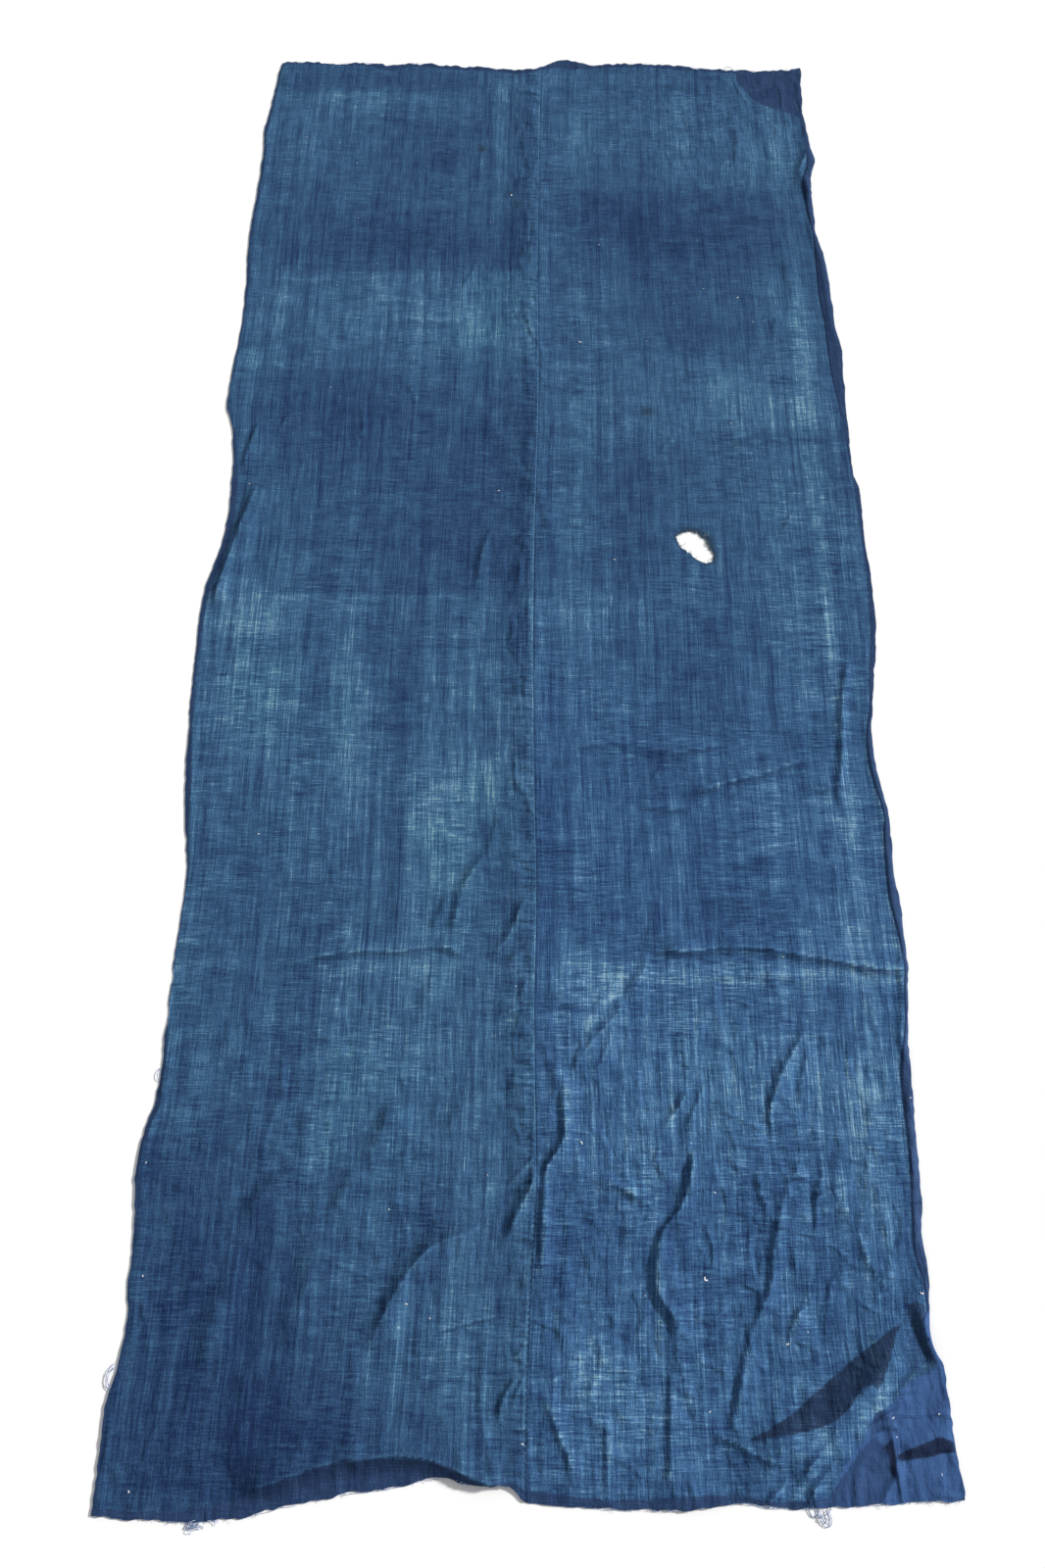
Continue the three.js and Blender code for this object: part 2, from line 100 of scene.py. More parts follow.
# Folds of the laid cloth: height, width of the steep side and of the gentle side, form, how dark the shade
# painted on the steep side is, and the crest, which runs with the steep side on its left
FOLDS = [
    # lifted hem at the lower left
    (12.5, 19, 70, "crisp", 0.50, [(-12, 18), (-39, 23), (-64, 31), (-97, 43), (-129, 48), (-172, 46),
                                   (-204, 42), (-256, 26), (-307, 10)]),
    # broad swells at the lower left
    (8.5, 20, 36, "crisp", 0.46, [(-176, 146), (-163, 176), (-148, 206), (-128, 236), (-104, 257), (-78, 266),
                                  (-52, 274)]),
    (3.8, 14, 22, "round", 0.34, [(-221, 284), (-210, 314), (-200, 342)]),
    (4.4, 18, 26, "round", 0.24, [(-332, 272), (-304, 304), (-276, 328), (-248, 345)]),
    (4.8, 22, 30, "round", 0.18, [(-190, 330), (-178, 365), (-160, 395), (-140, 410)]),
    (3.6, 18, 24, "round", 0.16, [(-98, 365), (-84, 395), (-60, 420), (-38, 446)]),
    (4.2, 22, 32, "round", 0.12, [(-352, 120), (-346, 170), (-330, 220), (-318, 250)]),
    (4.2, 22, 32, "round", 0.12, [(-258, 140), (-252, 190), (-236, 240), (-215, 275)]),
    (2.4, 16, 20, "round", 0.08, [(-104, 60), (-102, 100), (-90, 140), (-74, 160)]),
    (1.4, 5, 20, "sharp", 0.30, [(-214, 54), (-256, 56), (-300, 55)]),
    (1.6, 5, 12, "sharp", 0.18, [(-430, 70), (-444, 62), (-452, 52)]),
    # beside the seam foot
    (4.2, 7, 12, "crisp", 0.45, [(-34, 70), (-33, 84), (-29, 102), (-18, 118), (-6, 130)]),
    (3.0, 5, 8, "crisp", 0.35, [(-21, 86), (-18, 100), (-10, 118), (-6, 128)]),
    (1.8, 8, 12, "round", 0.16, [(-16, 8), (-16, 30), (-15, 50), (-16, 68)]),
    (2.0, 4, 10, "sharp", 0.40, [(1, 72), (-10, 73), (-22, 71)]),
    (2.0, 6, 12, "sharp", 0.30, [(-20, 141), (-12, 147), (-4, 150)]),
    # left of the seam
    (6.2, 13, 18, "crisp", 0.58, [(-28, 250), (-22, 274), (-11, 298), (1, 322), (4, 350)]),
    (2.8, 6, 12, "crisp", 0.35, [(-32, 312), (-20, 327), (-2, 345), (4, 356)]),
    (2.0, 8, 12, "round", 0.25, [(-4, 434), (-30, 432), (-58, 418)]),
    (2.4, 5, 18, "sharp", 0.45, [(-24, 184), (-49, 180), (-84, 171), (-112, 164)]),
    (2.4, 10, 14, "round", 0.20, [(-72, 280), (-94, 276), (-118, 264)]),
    (2.5, 24, 30, "round", 0.12, [(-262, 340), (-262, 375), (-250, 410)]),
    # across the left strip
    (4.4, 9, 25, "crisp", 0.44, [(-72, 580), (-98, 592), (-128, 596), (-160, 590), (-196, 590), (-252, 584),
                                 (-319, 566)]),
    (4.2, 14, 22, "crisp", 0.38, [(-101, 602), (-94, 645), (-80, 688), (-50, 728)]),
    (2.6, 9, 14, "round", 0.28, [(-126, 612), (-115, 640), (-102, 668)]),
    (3.0, 12, 12, "crisp", 0.34, [(-48, 575), (-45, 592), (-30, 610), (-18, 640), (-2, 672)]),
    (2.2, 9, 12, "round", 0.25, [(-36, 575), (-12, 592), (0, 606)]),
    (2.2, 8, 10, "sharp", 0.35, [(-18, 526), (-13, 540), (-6, 560)]),
    (2.0, 6, 12, "sharp", 0.30, [(0, 520), (-16, 519), (-36, 513)]),
    (2.4, 14, 18, "round", 0.20, [(-128, 520), (-124, 545), (-118, 566)]),
    (1.6, 14, 30, "round", 0.10, [(-172, 600), (-168, 650), (-172, 700)]),
    (1.6, 10, 16, "round", 0.10, [(-262, 770), (-262, 800), (-256, 826)]),
    (1.6, 8, 14, "round", 0.12, [(-60, 700), (-52, 740), (-40, 780)]),
    (1.4, 6, 14, "sharp", 0.20, [(-6, 975), (-30, 971), (-48, 966)]),
    # rolled left edge, and creases of the left strip above it
    (8.0, 15, 34, "crisp", 0.60, [(-443, 1070), (-438, 1120), (-430, 1160), (-421, 1205), (-411, 1250),
                                  (-402, 1290)]),
    (5.0, 10, 26, "crisp", 0.40, [(-427, 1300), (-424, 1335), (-417, 1370), (-404, 1412)]),
    (3.5, 10, 20, "crisp", 0.35, [(-81, 1110), (-76, 1160), (-68, 1195), (-56, 1225)]),
    (1.8, 8, 14, "round", 0.20, [(-46, 1112), (-32, 1128), (-20, 1146)]),
    (1.6, 6, 12, "sharp", 0.20, [(0, 1200), (-16, 1199), (-32, 1198)]),
    (2.0, 7, 16, "crisp", 0.30, [(-2, 1618), (-30, 1609), (-56, 1600)]),
    (2.0, 7, 14, "crisp", 0.28, [(2, 1902), (-30, 1910), (-56, 1916)]),
    (1.6, 6, 14, "sharp", 0.20, [(2, 2112), (-20, 2113), (-42, 2114)]),
    (3.0, 12, 20, "round", 0.20, [(-432, 2110), (-436, 2140), (-444, 2168)]),
    # right of the seam
    (5.2, 9, 22, "crisp", 0.60, [(11, 215), (12, 262), (13, 300), (16, 335), (26, 352), (37, 372), (37, 410),
                                 (38, 455)]),
    (2.4, 6, 12, "crisp", 0.30, [(24, 405), (27, 432), (26, 458)]),
    (3.6, 12, 26, "crisp", 0.38, [(47, 436), (53, 456), (72, 484), (98, 512), (112, 540)]),
    (2.6, 10, 18, "crisp", 0.30, [(68, 440), (83, 462), (96, 500), (104, 520)]),
    (3.2, 10, 18, "crisp", 0.32, [(116, 536), (130, 560), (137, 578), (140, 596)]),
    (1.8, 6, 14, "sharp", 0.30, [(68, 529), (48, 528), (30, 524)]),
    (2.6, 10, 18, "round", 0.30, [(70, 553), (48, 549), (30, 540), (12, 536)]),
    # seam foot on the right
    (4.2, 8, 18, "crisp", 0.50, [(46, 16), (42, 41), (33, 63), (25, 81), (17, 100), (14, 122)]),
    (4.4, 6, 18, "crisp", 0.50, [(80, 6), (80, 36), (81, 64), (79, 96)]),
    (2.4, 6, 12, "sharp", 0.30, [(64, 86), (63, 107), (69, 122), (78, 146)]),
    (2.2, 8, 12, "round", 0.25, [(37, 180), (36, 222), (41, 243)]),
    (2.0, 6, 12, "sharp", 0.28, [(70, 149), (56, 143), (38, 146)]),
    (1.8, 6, 10, "sharp", 0.30, [(22, 118), (29, 124), (40, 130)]),
    (1.6, 5, 14, "sharp", 0.25, [(56, 277), (30, 277), (8, 276)]),
    (4.4, 7, 20, "crisp", 0.48, [(142, 4), (146, 50), (149, 100), (151, 140)]),
    (4.4, 10, 20, "crisp", 0.52, [(134, 302), (113, 310), (95, 319), (64, 324)]),
    # deep wavy fold
    (2.6, 4, 20, "sharp", 0.26, [(176, 70), (170, 100), (162, 130), (158, 150), (157, 170), (153, 188),
                                 (144, 202), (138, 222)]),
    (7.4, 7, 34, "crisp", 0.38, [(158, 150), (157, 170), (153, 186), (144, 198), (138, 212), (138, 234),
                                 (142, 260), (152, 278), (167, 296), (177, 318), (182, 344), (186, 370)]),
    (4.2, 10, 16, "crisp", 0.52, [(148, 376), (159, 394), (171, 408), (184, 434)]),
    (2.8, 6, 16, "crisp", 0.30, [(176, 382), (192, 412), (206, 444)]),
    # long diagonal
    (5.2, 6, 22, "crisp", 0.42, [(208, 52), (216, 88), (224, 118), (232, 149), (238, 166), (247, 184),
                                 (258, 206)]),
    (4.6, 7, 26, "crisp", 0.28, [(234, 156), (250, 190), (262, 214), (268, 247), (276, 277), (284, 305),
                                 (296, 342)]),
    (3.4, 8, 8, "crisp", 0.40, [(266, 284), (263, 302), (258, 319), (258, 342)]),
    (5.0, 9, 26, "crisp", 0.40, [(270, 376), (277, 408), (285, 431), (296, 453), (318, 488), (330, 512)]),
    (4.2, 7, 20, "crisp", 0.36, [(309, 400), (314, 431), (321, 461), (328, 484)]),
    (3.4, 7, 14, "crisp", 0.42, [(278, 152), (283, 173), (289, 186), (298, 194), (312, 198)]),
    (2.6, 7, 10, "crisp", 0.32, [(288, 226), (292, 240), (292, 260)]),
    (2.6, 7, 12, "crisp", 0.36, [(198, 180), (206, 188), (216, 195)]),
    (4.6, 10, 18, "crisp", 0.54, [(310, 302), (334, 314), (362, 322)]),
    (3.4, 7, 14, "crisp", 0.42, [(320, 331), (300, 331), (282, 327)]),
    (3.4, 6, 14, "crisp", 0.42, [(410, 212), (388, 216), (373, 242), (362, 280)]),
    (1.8, 6, 14, "sharp", 0.26, [(362, 295), (339, 294), (322, 288)]),
    (2.2, 10, 14, "round", 0.20, [(366, 262), (376, 300), (380, 340), (378, 380)]),
    (2.2, 10, 14, "round", 0.20, [(398, 256), (392, 300), (388, 340)]),
    # hem pinch
    (5.0, 8, 18, "crisp", 0.46, [(276, 36), (246, 48), (228, 56), (210, 65), (180, 72)]),
    (3.6, 12, 14, "round", 0.32, [(208, 10), (228, 22), (252, 34)]),
    (4.0, 10, 12, "crisp", 0.60, [(276, 18), (290, 40), (304, 56), (316, 70)]),
    (3.6, 9, 12, "crisp", 0.55, [(284, 2), (296, 22), (308, 36), (322, 52)]),
    (3.0, 9, 12, "crisp", 0.55, [(244, 0), (250, 12), (262, 24), (270, 36)]),
    # great corner fold
    (11.5, 29, 42, "even", 0.00, [(216, 60), (250, 66), (280, 71), (303, 78), (319, 86), (333, 96),
                                  (345, 107), (361, 119), (374, 134), (385, 156), (404, 186)]),
    (7.0, 14, 12, "crisp", 0.20, [(437, 136), (431, 155), (425, 178), (418, 208)]),
    (5.5, 12, 18, "crisp", 0.00, [(450, 64), (428, 68), (410, 62), (384, 55)]),
    (4.0, 7, 9, "crisp", 0.80, [(386, 22), (383, 44), (382, 60), (376, 84)]),
    (3.4, 7, 8, "crisp", 0.70, [(352, 74), (366, 84), (380, 92), (398, 96)]),
    (3.0, 7, 8, "crisp", 0.60, [(392, 76), (376, 80), (358, 76)]),
    (2.0, 6, 10, "sharp", 0.20, [(362, 8), (372, 22), (384, 36)]),
    (2.6, 6, 12, "crisp", 0.34, [(388, 108), (398, 120), (410, 133)]),
    (3.0, 8, 12, "crisp", 0.34, [(366, 204), (388, 210), (404, 222)]),
    (2.6, 8, 12, "round", 0.26, [(378, 224), (392, 230), (404, 242)]),
    # long cross folds
    (6.2, 11, 36, "crisp", 0.62, [(462, 572), (420, 573), (369, 582), (323, 590), (280, 597), (241, 598),
                                  (194, 593), (140, 591)]),
    (2.2, 8, 14, "round", 0.26, [(350, 558), (300, 562), (255, 563), (200, 560)]),
    (2.6, 8, 12, "crisp", 0.30, [(306, 592), (318, 606), (326, 622)]),
    (1.6, 10, 20, "round", 0.12, [(380, 654), (260, 658), (160, 656)]),
    (4.4, 8, 22, "crisp", 0.42, [(256, 874), (200, 863), (130, 860)]),
    (3.2, 7, 18, "crisp", 0.32, [(150, 872), (100, 872), (40, 866)]),
    (5.2, 8, 22, "crisp", 0.46, [(372, 858), (300, 832), (246, 816), (190, 798)]),
    (3.8, 7, 20, "crisp", 0.40, [(212, 779), (168, 782), (130, 782)]),
    (3.0, 7, 16, "crisp", 0.34, [(420, 816), (384, 812), (346, 808)]),
    (2.0, 6, 12, "sharp", 0.25, [(152, 820), (160, 832), (170, 844)]),
    (2.4, 7, 12, "crisp", 0.30, [(110, 536), (120, 552), (128, 572)]),
    # lengthwise ridge near the right edge, and creases of the right strip above it
    (5.6, 10, 11, "crisp", 0.26, [(398, 776), (394, 812), (402, 850), (407, 900), (411, 940), (418, 975),
                                  (428, 1010)]),
    (2.5, 10, 20, "round", 0.20, [(20, 1196), (16, 1225), (10, 1262)]),
    (2.5, 6, 14, "crisp", 0.30, [(352, 1206), (360, 1226), (372, 1246)]),
    (2.2, 6, 12, "crisp", 0.30, [(184, 1350), (194, 1364), (204, 1376)]),
    (2.0, 6, 14, "crisp", 0.28, [(330, 1349), (300, 1344), (276, 1342)]),
    (2.5, 6, 12, "crisp", 0.34, [(368, 1566), (368, 1590), (374, 1614)]),
    (2.5, 8, 16, "round", 0.22, [(330, 1940), (334, 1980), (336, 2030)]),
    (2.2, 8, 16, "round", 0.20, [(396, 1660), (394, 1700), (394, 1745)]),
    (2.2, 8, 16, "crisp", 0.26, [(288, 2122), (240, 2126), (205, 2136)]),
    (1.8, 6, 12, "sharp", 0.24, [(64, 2160), (70, 2176), (64, 2192)]),
    (1.8, 6, 12, "sharp", 0.24, [(12, 2150), (20, 2164), (26, 2178)]),
    # right edge bump near the top
    (5.0, 14, 16, "crisp", 0.35, [(448, 1850), (442, 1895), (434, 1925), (448, 1962), (450, 2000)]),
    # faint creases of the upper half
    (1.8, 7, 14, "crisp", 0.24, [(-121, 1636), (-116, 1667), (-102, 1697), (-92, 1736)]),
    (1.6, 9, 16, "crisp", 0.24, [(-90, 1602), (-150, 1599), (-200, 1600), (-240, 1602)]),
    (1.6, 7, 12, "crisp", 0.22, [(-260, 1360), (-257, 1395), (-262, 1438)]),
    (1.8, 7, 14, "crisp", 0.24, [(-385, 1368), (-376, 1392), (-364, 1424)]),
    (1.4, 7, 12, "crisp", 0.20, [(-177, 1424), (-183, 1450), (-198, 1477)]),
    (1.4, 9, 16, "crisp", 0.20, [(-297, 1677), (-370, 1680), (-430, 1682)]),
    (1.4, 9, 16, "crisp", 0.20, [(-360, 1920), (-410, 1918), (-455, 1915)]),
    (1.8, 9, 14, "crisp", 0.24, [(358, 1920), (328, 1895), (258, 1886)]),
    (1.6, 9, 14, "crisp", 0.22, [(394, 1638), (361, 1602), (326, 1594)]),
    (1.8, 8, 14, "round", 0.22, [(380, 1600), (400, 1643), (402, 1696), (392, 1764)]),
    (1.6, 9, 16, "crisp", 0.24, [(452, 1379), (365, 1372), (282, 1364)]),
]
MERGE_POWER = 3.0
END_FADE = 0.30
LONGEST_FADE = 0.036
CREST_STEPS = 30
PALE_CREST_WIDTH = 0.0028

# Creases paler along a line, partly from wear and partly as painted highlight on lit crests: half width, how
# much paler, and the line
WORN_AND_LIT_LINES = [
    (6, 0.34, [(352, 80), (366, 98), (379, 118), (391, 140), (402, 165), (411, 186)]),
    (14, 0.48, [(262, 50), (300, 56), (335, 70), (360, 88), (380, 114), (398, 150)]),
    (5, 0.38, [(272, 6), (294, 34), (322, 62)]),
    (2, 0.60, [(313, 20), (321, 30), (341, 52), (359, 69)]),
    (1.8, 0.40, [(363, 9), (371, 21), (380, 32)]),
    (2, 0.34, [(412, 21), (423, 27), (443, 40)]),
    (5, 0.40, [(388, 118), (410, 128), (436, 142)]),
    (8.5, 0.28, [(246, 57), (285, 63), (318, 71), (348, 91), (370, 112)]),
    (6, 0.38, [(296, 12), (318, 46), (352, 86)]),
    (3, 0.34, [(-400, 1099), (-280, 1098), (-140, 1099), (-8, 1098)]),
    (7.5, 0.36, [(47, 445), (61, 489), (91, 531), (128, 573)]),
    (6, 0.28, [(-66, 308), (-25, 321), (2, 346)]),
    (4, 0.36, [(210, 60), (222, 100), (231, 130), (242, 160)]),
    (3.6, 0.34, [(41, 350), (43, 400), (44, 460)]),
    (4, 0.34, [(34, 142), (48, 138), (60, 143), (72, 158)]),
    (5, 0.22, [(392, 200), (398, 240), (394, 300), (390, 350)]),
    (4, 0.26, [(-20, 72), (-36, 86), (-44, 60)]),
]

# Painted shadows where folds shade the cloth near the lower right corner, and one patch that darkens the
# corner's left part: how dark, and their outlines
HOLLOWS = [
    # painted shadow under the great corner fold
    (0.82, [(226, 65), (254, 69), (280, 73), (303, 78), (320, 85), (334, 95), (344, 107), (352, 117),
            (361, 119), (368, 115), (374, 122), (383, 143), (395, 170), (404, 179), (392, 176), (374, 163),
            (358, 152), (340, 139), (316, 121), (296, 106), (278, 92), (249, 76)]),
    # near the lower right corner: two painted shadow blades, painted shade among small crumples, and the
    # patch that darkens the corner's left part
    (1.0, [(383.5, 49), (384, 53.5), (398, 60), (415, 66), (430, 71.5), (444, 66.5), (446, 57.5), (427, 54),
           (414, 51), (389, 48)]),
    (1.0, [(372, 62), (379.5, 68), (382, 58), (381.5, 43), (380, 27), (375.5, 40)]),
    (0.40, [(359, 81), (364, 92), (374, 97), (381, 87), (388, 74), (379, 76), (380, 68), (372, 76), (364, 72),
            (357, 71)]),
    (0.40, [(302, -20), (313, 19), (322, 30), (342, 52), (359, 70), (372, 64), (377, 40), (380, 31),
            (371, 20), (363, 8), (358, -20)]),
    # painted shade inside the right edge, on the steep side of its fold and under it
    (0.72, [(410, 198), (422, 202), (431, 198), (425, 180), (425, 168), (429, 156), (435, 142), (432, 133),
            (425, 142), (417, 159), (412, 177)]),
    (0.34, [(409, 168), (419, 160), (432, 135), (423, 129), (409, 125), (397, 117), (387, 111), (393, 126),
            (405, 133), (403, 148)]),
]
HOLLOW_BORDER = (-0.0010, 0.0008)
FAR_FROM_HOLLOWS = -0.02

# Old turned margin that still stands up a little: (height y, lift), beside the right and the left edge
RIGHT_ROLL = np.array([
    (0, 0), (200, 1), (300, 2.4), (560, 2.8), (640, 2.6), (920, 2), (1000, 0.4), (1500, 0.6), (1620, 2.2),
    (1900, 2.8), (1980, 0.8), (2200, 0),
]) / MM
LEFT_ROLL = np.array([
    (0, 1.2), (100, 0.8), (320, 1.4), (420, 2.6), (500, 0.4), (700, 1), (800, 1.8), (950, 0.6), (1600, 0.6),
    (2000, 1.2), (2200, 0),
]) / MM
ROLL_PLACE = 0.007
ROLL_WIDTH = 0.007

# Worn hole in the right strip, and the rings of points round it
HOLE_CENTRE = np.array([228, 1186]) / MM
HOLE_RIM = np.array([(200, 1199), (213, 1210), (228, 1208), (239, 1199), (247, 1182), (252, 1168),
                     (244, 1156), (231, 1160), (219, 1172), (206, 1185)]) / MM
HOLE_REACH = 0.044
HOLE_RINGS = 12
RING_CROWDING = 0.8

# Grid of a strip: (reach, pitch) of its rows along the cloth and of its columns away from the seam, in metres
ROW_SPANS = [(0.10, 0.0026), (0.62, 0.0027), (1.00, 0.0046), (1.45, 0.0056), (LENGTH, 0.0070)]
COLUMN_SPANS = [(0.0012, 0.0006), (0.012, 0.0016), (0.042, 0.0028), (STRIP_WIDTH, 0.0033)]


def smooth(t):
    """Smooth step of t, held between 0 and 1."""
    t = np.clip(t, 0, 1)
    return t * t * (3 - 2 * t)


def metres(*values):
    """Numbers or tables in millimetres, as metres."""
    return [np.array(value) / MM for value in values]


def through(stations, at):
    """Smooth value through (place, value) stations: cubic pieces whose slopes come from the neighbours."""
    places, values = stations.T
    span, rise = np.diff(places), np.diff(values)
    slope = np.empty_like(values)
    slope[1:-1] = (values[2:] - values[:-2]) / (places[2:] - places[:-2])
    slope[0], slope[-1] = rise[0] / span[0], rise[-1] / span[-1]
    i = np.clip(np.searchsorted(places, at, side="right") - 1, 0, len(span) - 1)
    t = np.clip((at - places[i]) / span[i], 0, 1)
    before, after = slope[i] * span[i], slope[i + 1] * span[i]
    bend = 3 * rise[i] - 2 * before - after
    return values[i] + t * before + t**2 * bend + t**3 * (before + after - 2 * rise[i])


def smooth_path(points, count):
    """Evenly spaced places on a smooth curve through the points."""
    reach = np.r_[0, np.cumsum(np.linalg.norm(np.diff(points, axis=0), axis=1))]
    at = np.linspace(0, reach[-1], count)
    return np.stack([through(np.c_[reach, values], at) for values in points.T], axis=1)


def lattice_noise(x, y, cell_x, cell_y, seed):
    """Smooth noise from 0 to 1: seeded values on a lattice, blended by a fifth-power step between them."""
    size = 128
    values = np.random.default_rng(seed).random((size, size))
    across, along = x / cell_x, y / cell_y
    i, j = np.floor(across).astype(int), np.floor(along).astype(int)
    u, v = across - i, along - j
    u, v = u**3 * (u * (6 * u - 15) + 10), v**3 * (v * (6 * v - 15) + 10)
    i, j, i2, j2 = i % size, j % size, (i + 1) % size, (j + 1) % size
    low = values[i, j] * (1 - u) + values[i2, j] * u
    high = values[i, j2] * (1 - u) + values[i2, j2] * u
    return low * (1 - v) + high * v


def line_noise(along, cell, seed):
    """Smooth noise from 0 to 1 along a line."""
    return lattice_noise(along, along * 0, cell, 1.0, seed)


def near_crest(x, y, points, reach):
    """For the places within reach of a crest: their indices, distance to it, share along it, and whether
    they lie on its left."""
    line = smooth_path(points, CREST_STEPS + 1)
    low, high = line.min(0) - reach, line.max(0) + reach
    near = np.flatnonzero((x > low[0]) & (x < high[0]) & (y > low[1]) & (y < high[1]))
    place = np.stack([x[near], y[near]], axis=1)
    distance = np.full(len(near), np.inf)
    along, side = np.zeros(len(near)), np.zeros(len(near))
    for i in range(CREST_STEPS):
        step = line[i + 1] - line[i]
        away = place - line[i]
        t = np.clip(away @ step / (step @ step), 0, 1)
        apart = np.linalg.norm(away - t[:, None] * step, axis=1)
        closer = apart < distance
        distance[closer] = apart[closer]
        along[closer] = (i + t[closer]) / CREST_STEPS
        side[closer] = (step[0] * away[:, 1] - step[1] * away[:, 0])[closer]
    return near, distance, along, side > 0


def folded(x, y):
    """Height and painted shading of the folds. The height falls from a crest over that side's width by the
    fold's form and fades at both ends; folds that meet run into the taller one. The steep side gets painted
    shade (negative), and the crest's other side is paler (positive), partly from wear and partly as a painted
    highlight on its lit side; the pale lines add to that side."""
    total, deep, worn_or_lit = np.zeros_like(x), np.zeros_like(x), np.zeros_like(x)
    for height, steep, gentle, form, dark, points in FOLDS:
        height, steep, gentle, points = metres(height, steep, gentle, points)
        near, distance, along, left = near_crest(x, y, points, max(steep, gentle))
        fall = np.clip(distance / np.where(left, steep, gentle), 0, 1)
        uneven = 0.72 + 0.5 * lattice_noise(x[near], y[near], 0.017, 0.023, 41)
        length = np.linalg.norm(np.diff(points, axis=0), axis=1).sum()
        ends = smooth(np.minimum(along, 1 - along) / min(END_FADE, LONGEST_FADE / length)) * uneven
        total[near] += (height * FORMS[form](fall) * ends) ** MERGE_POWER
        deep[near] = np.maximum(deep[near], dark * ends * left * smooth(1.15 * (1 - fall)) ** 0.8)
        if form != "round":
            # Crest paling on the side away from the painted shade: partly wear, partly painted highlight
            # where the slope faces the light.
            crest_paling = (0.25 + 0.5 * dark) * ends * ~left * np.exp(-((distance / PALE_CREST_WIDTH) ** 2))
            worn_or_lit[near] = np.maximum(worn_or_lit[near], crest_paling)
    for half, paler, points in WORN_AND_LIT_LINES:
        half, points = metres(half, points)
        near, distance, along, _ = near_crest(x, y, points, 3 * half)
        broken = 0.5 + lattice_noise(x[near], y[near], 0.006, 0.006, 42)
        broken = smooth(np.minimum(along, 1 - along) / 0.2) * broken
        worn_or_lit[near] = np.maximum(worn_or_lit[near], paler * broken * np.exp(-((distance / half) ** 2)))
    return total ** (1 / MERGE_POWER), worn_or_lit * (1 - deep) - deep


def inside_outline(x, y, corners):
    """Distance inside a closed outline, negative outside it."""
    distance, inside = np.full_like(x, np.inf), np.zeros(x.shape, bool)
    for (ax, ay), (bx, by) in zip(corners, np.roll(corners, -1, axis=0)):
        t = ((x - ax) * (bx - ax) + (y - ay) * (by - ay)) / ((bx - ax) ** 2 + (by - ay) ** 2)
        t = np.clip(t, 0, 1)
        distance = np.minimum(distance, np.hypot(x - ax - t * (bx - ax), y - ay - t * (by - ay)))
        crosses = (ay > y) != (by > y)
        inside ^= crosses & (x < ax + (y - ay) * (bx - ax) / np.where(ay == by, 1, by - ay))
    return np.where(inside, distance, -distance)


def hollows(x, y):
    """Distance inside the nearest patch of HOLLOWS, negative outside. It is held where the material's smooth
    step over HOLLOW_BORDER gives how dark the patch is."""
    depth = np.full_like(x, FAR_FROM_HOLLOWS)
    near = np.flatnonzero((x > 0.2) & (y < 0.25))
    for how_dark, outline in HOLLOWS:
        share = 0.5 - math.sin(math.asin(1 - 2 * how_dark) / 3)
        most = HOLLOW_BORDER[0] + share * (HOLLOW_BORDER[1] - HOLLOW_BORDER[0])
        inside = inside_outline(x[near], y[near], *metres(outline))
        depth[near] = np.maximum(depth[near], np.minimum(inside, most))
    return depth


def edge_distance(x, y):
    """Distance to the outer long edge of the strip that a point is on."""
    return np.where(x > 0, through(RIGHT_EDGE, y) - x, x - through(LEFT_EDGE, y))


def margin_roll(x, y):
    """Low roll that runs beside each long edge, where the margin was once turned."""
    lift = np.where(x > 0, through(RIGHT_ROLL, y), through(LEFT_ROLL, y))
    return lift * smooth(1 - np.abs(edge_distance(x, y) - ROLL_PLACE) / ROLL_WIDTH)


def crumple(x, y):
    """How crumpled the cloth is, from 0 to 1: most in the lower right quarter and beside the seam."""
    lower_right = smooth((0.78 - y) / 0.5) * smooth((x + 0.06) / 0.12)
    lower_left = 0.45 * smooth((0.75 - y) / 0.5)
    beside_seam = 0.5 * smooth(1 - np.abs(x + 0.012) / 0.05)
    top_right = 0.4 * smooth((y - 1.80) / 0.2) * smooth((x - 0.10) / 0.2)
    return np.clip(0.16 + np.maximum.reduce([lower_right, lower_left, beside_seam, top_right]), 0, 1)


# Winding creases: height, how far they lean, width and length of their cells, seed
CREASES = [(0.0013, 0.22, 0.036, 0.105, 12), (0.0009, -0.50, 0.044, 0.066, 15),
           (0.0009, 0.10, 0.085, 0.034, 13), (0.0004, 0.35, 0.017, 0.038, 16)]


def wrinkles(x, y):
    """Small unevenness: shallow swells, and sharp-crested creases that wind where a leaning noise crosses
    its middle value, by how crumpled the cloth is there."""
    total = 0.0026 * lattice_noise(x + 0.25 * y, y, 0.055, 0.120, 11) * (0.20 + 0.80 * crumple(x, y))
    for height, lean, wide, high, seed in CREASES:
        away = np.abs(lattice_noise(x + lean * y, y, wide, high, seed) - 0.5)
        broken = smooth(2.2 * lattice_noise(x, y, 0.09, 0.07, seed + 30) - 0.6)
        total += height * np.maximum(1 - away / 0.22, 0) ** 1.8 * broken * crumple(x, y)
    return total


def seam_pucker(x, y):
    """Short gathers just left of the seam, drawn in by the stitches."""
    beside = smooth(1 - np.abs(x - through(SEAM, y) + 0.015) / 0.013)
    return 0.0026 * beside * (lattice_noise(x * 0.6 + y, y, 5.0, 0.013, 14) - 0.5)


def laid(x, y):
    """Height of the cloth's underside, and the painted shade and pale crests of its folds."""
    height, fold_shade_and_pale = folded(x, y)
    return np.maximum(height + margin_roll(x, y) + wrinkles(x, y) + seam_pucker(x, y), 0), fold_shade_and_pale


def lap_rise(x, y):
    """How far the left strip climbs to lie on the right one."""
    to_seam = through(SEAM, y) - x
    return LAP_RISE * smooth((LAP_WIDTH + LAP_RAMP - to_seam) / LAP_RAMP)
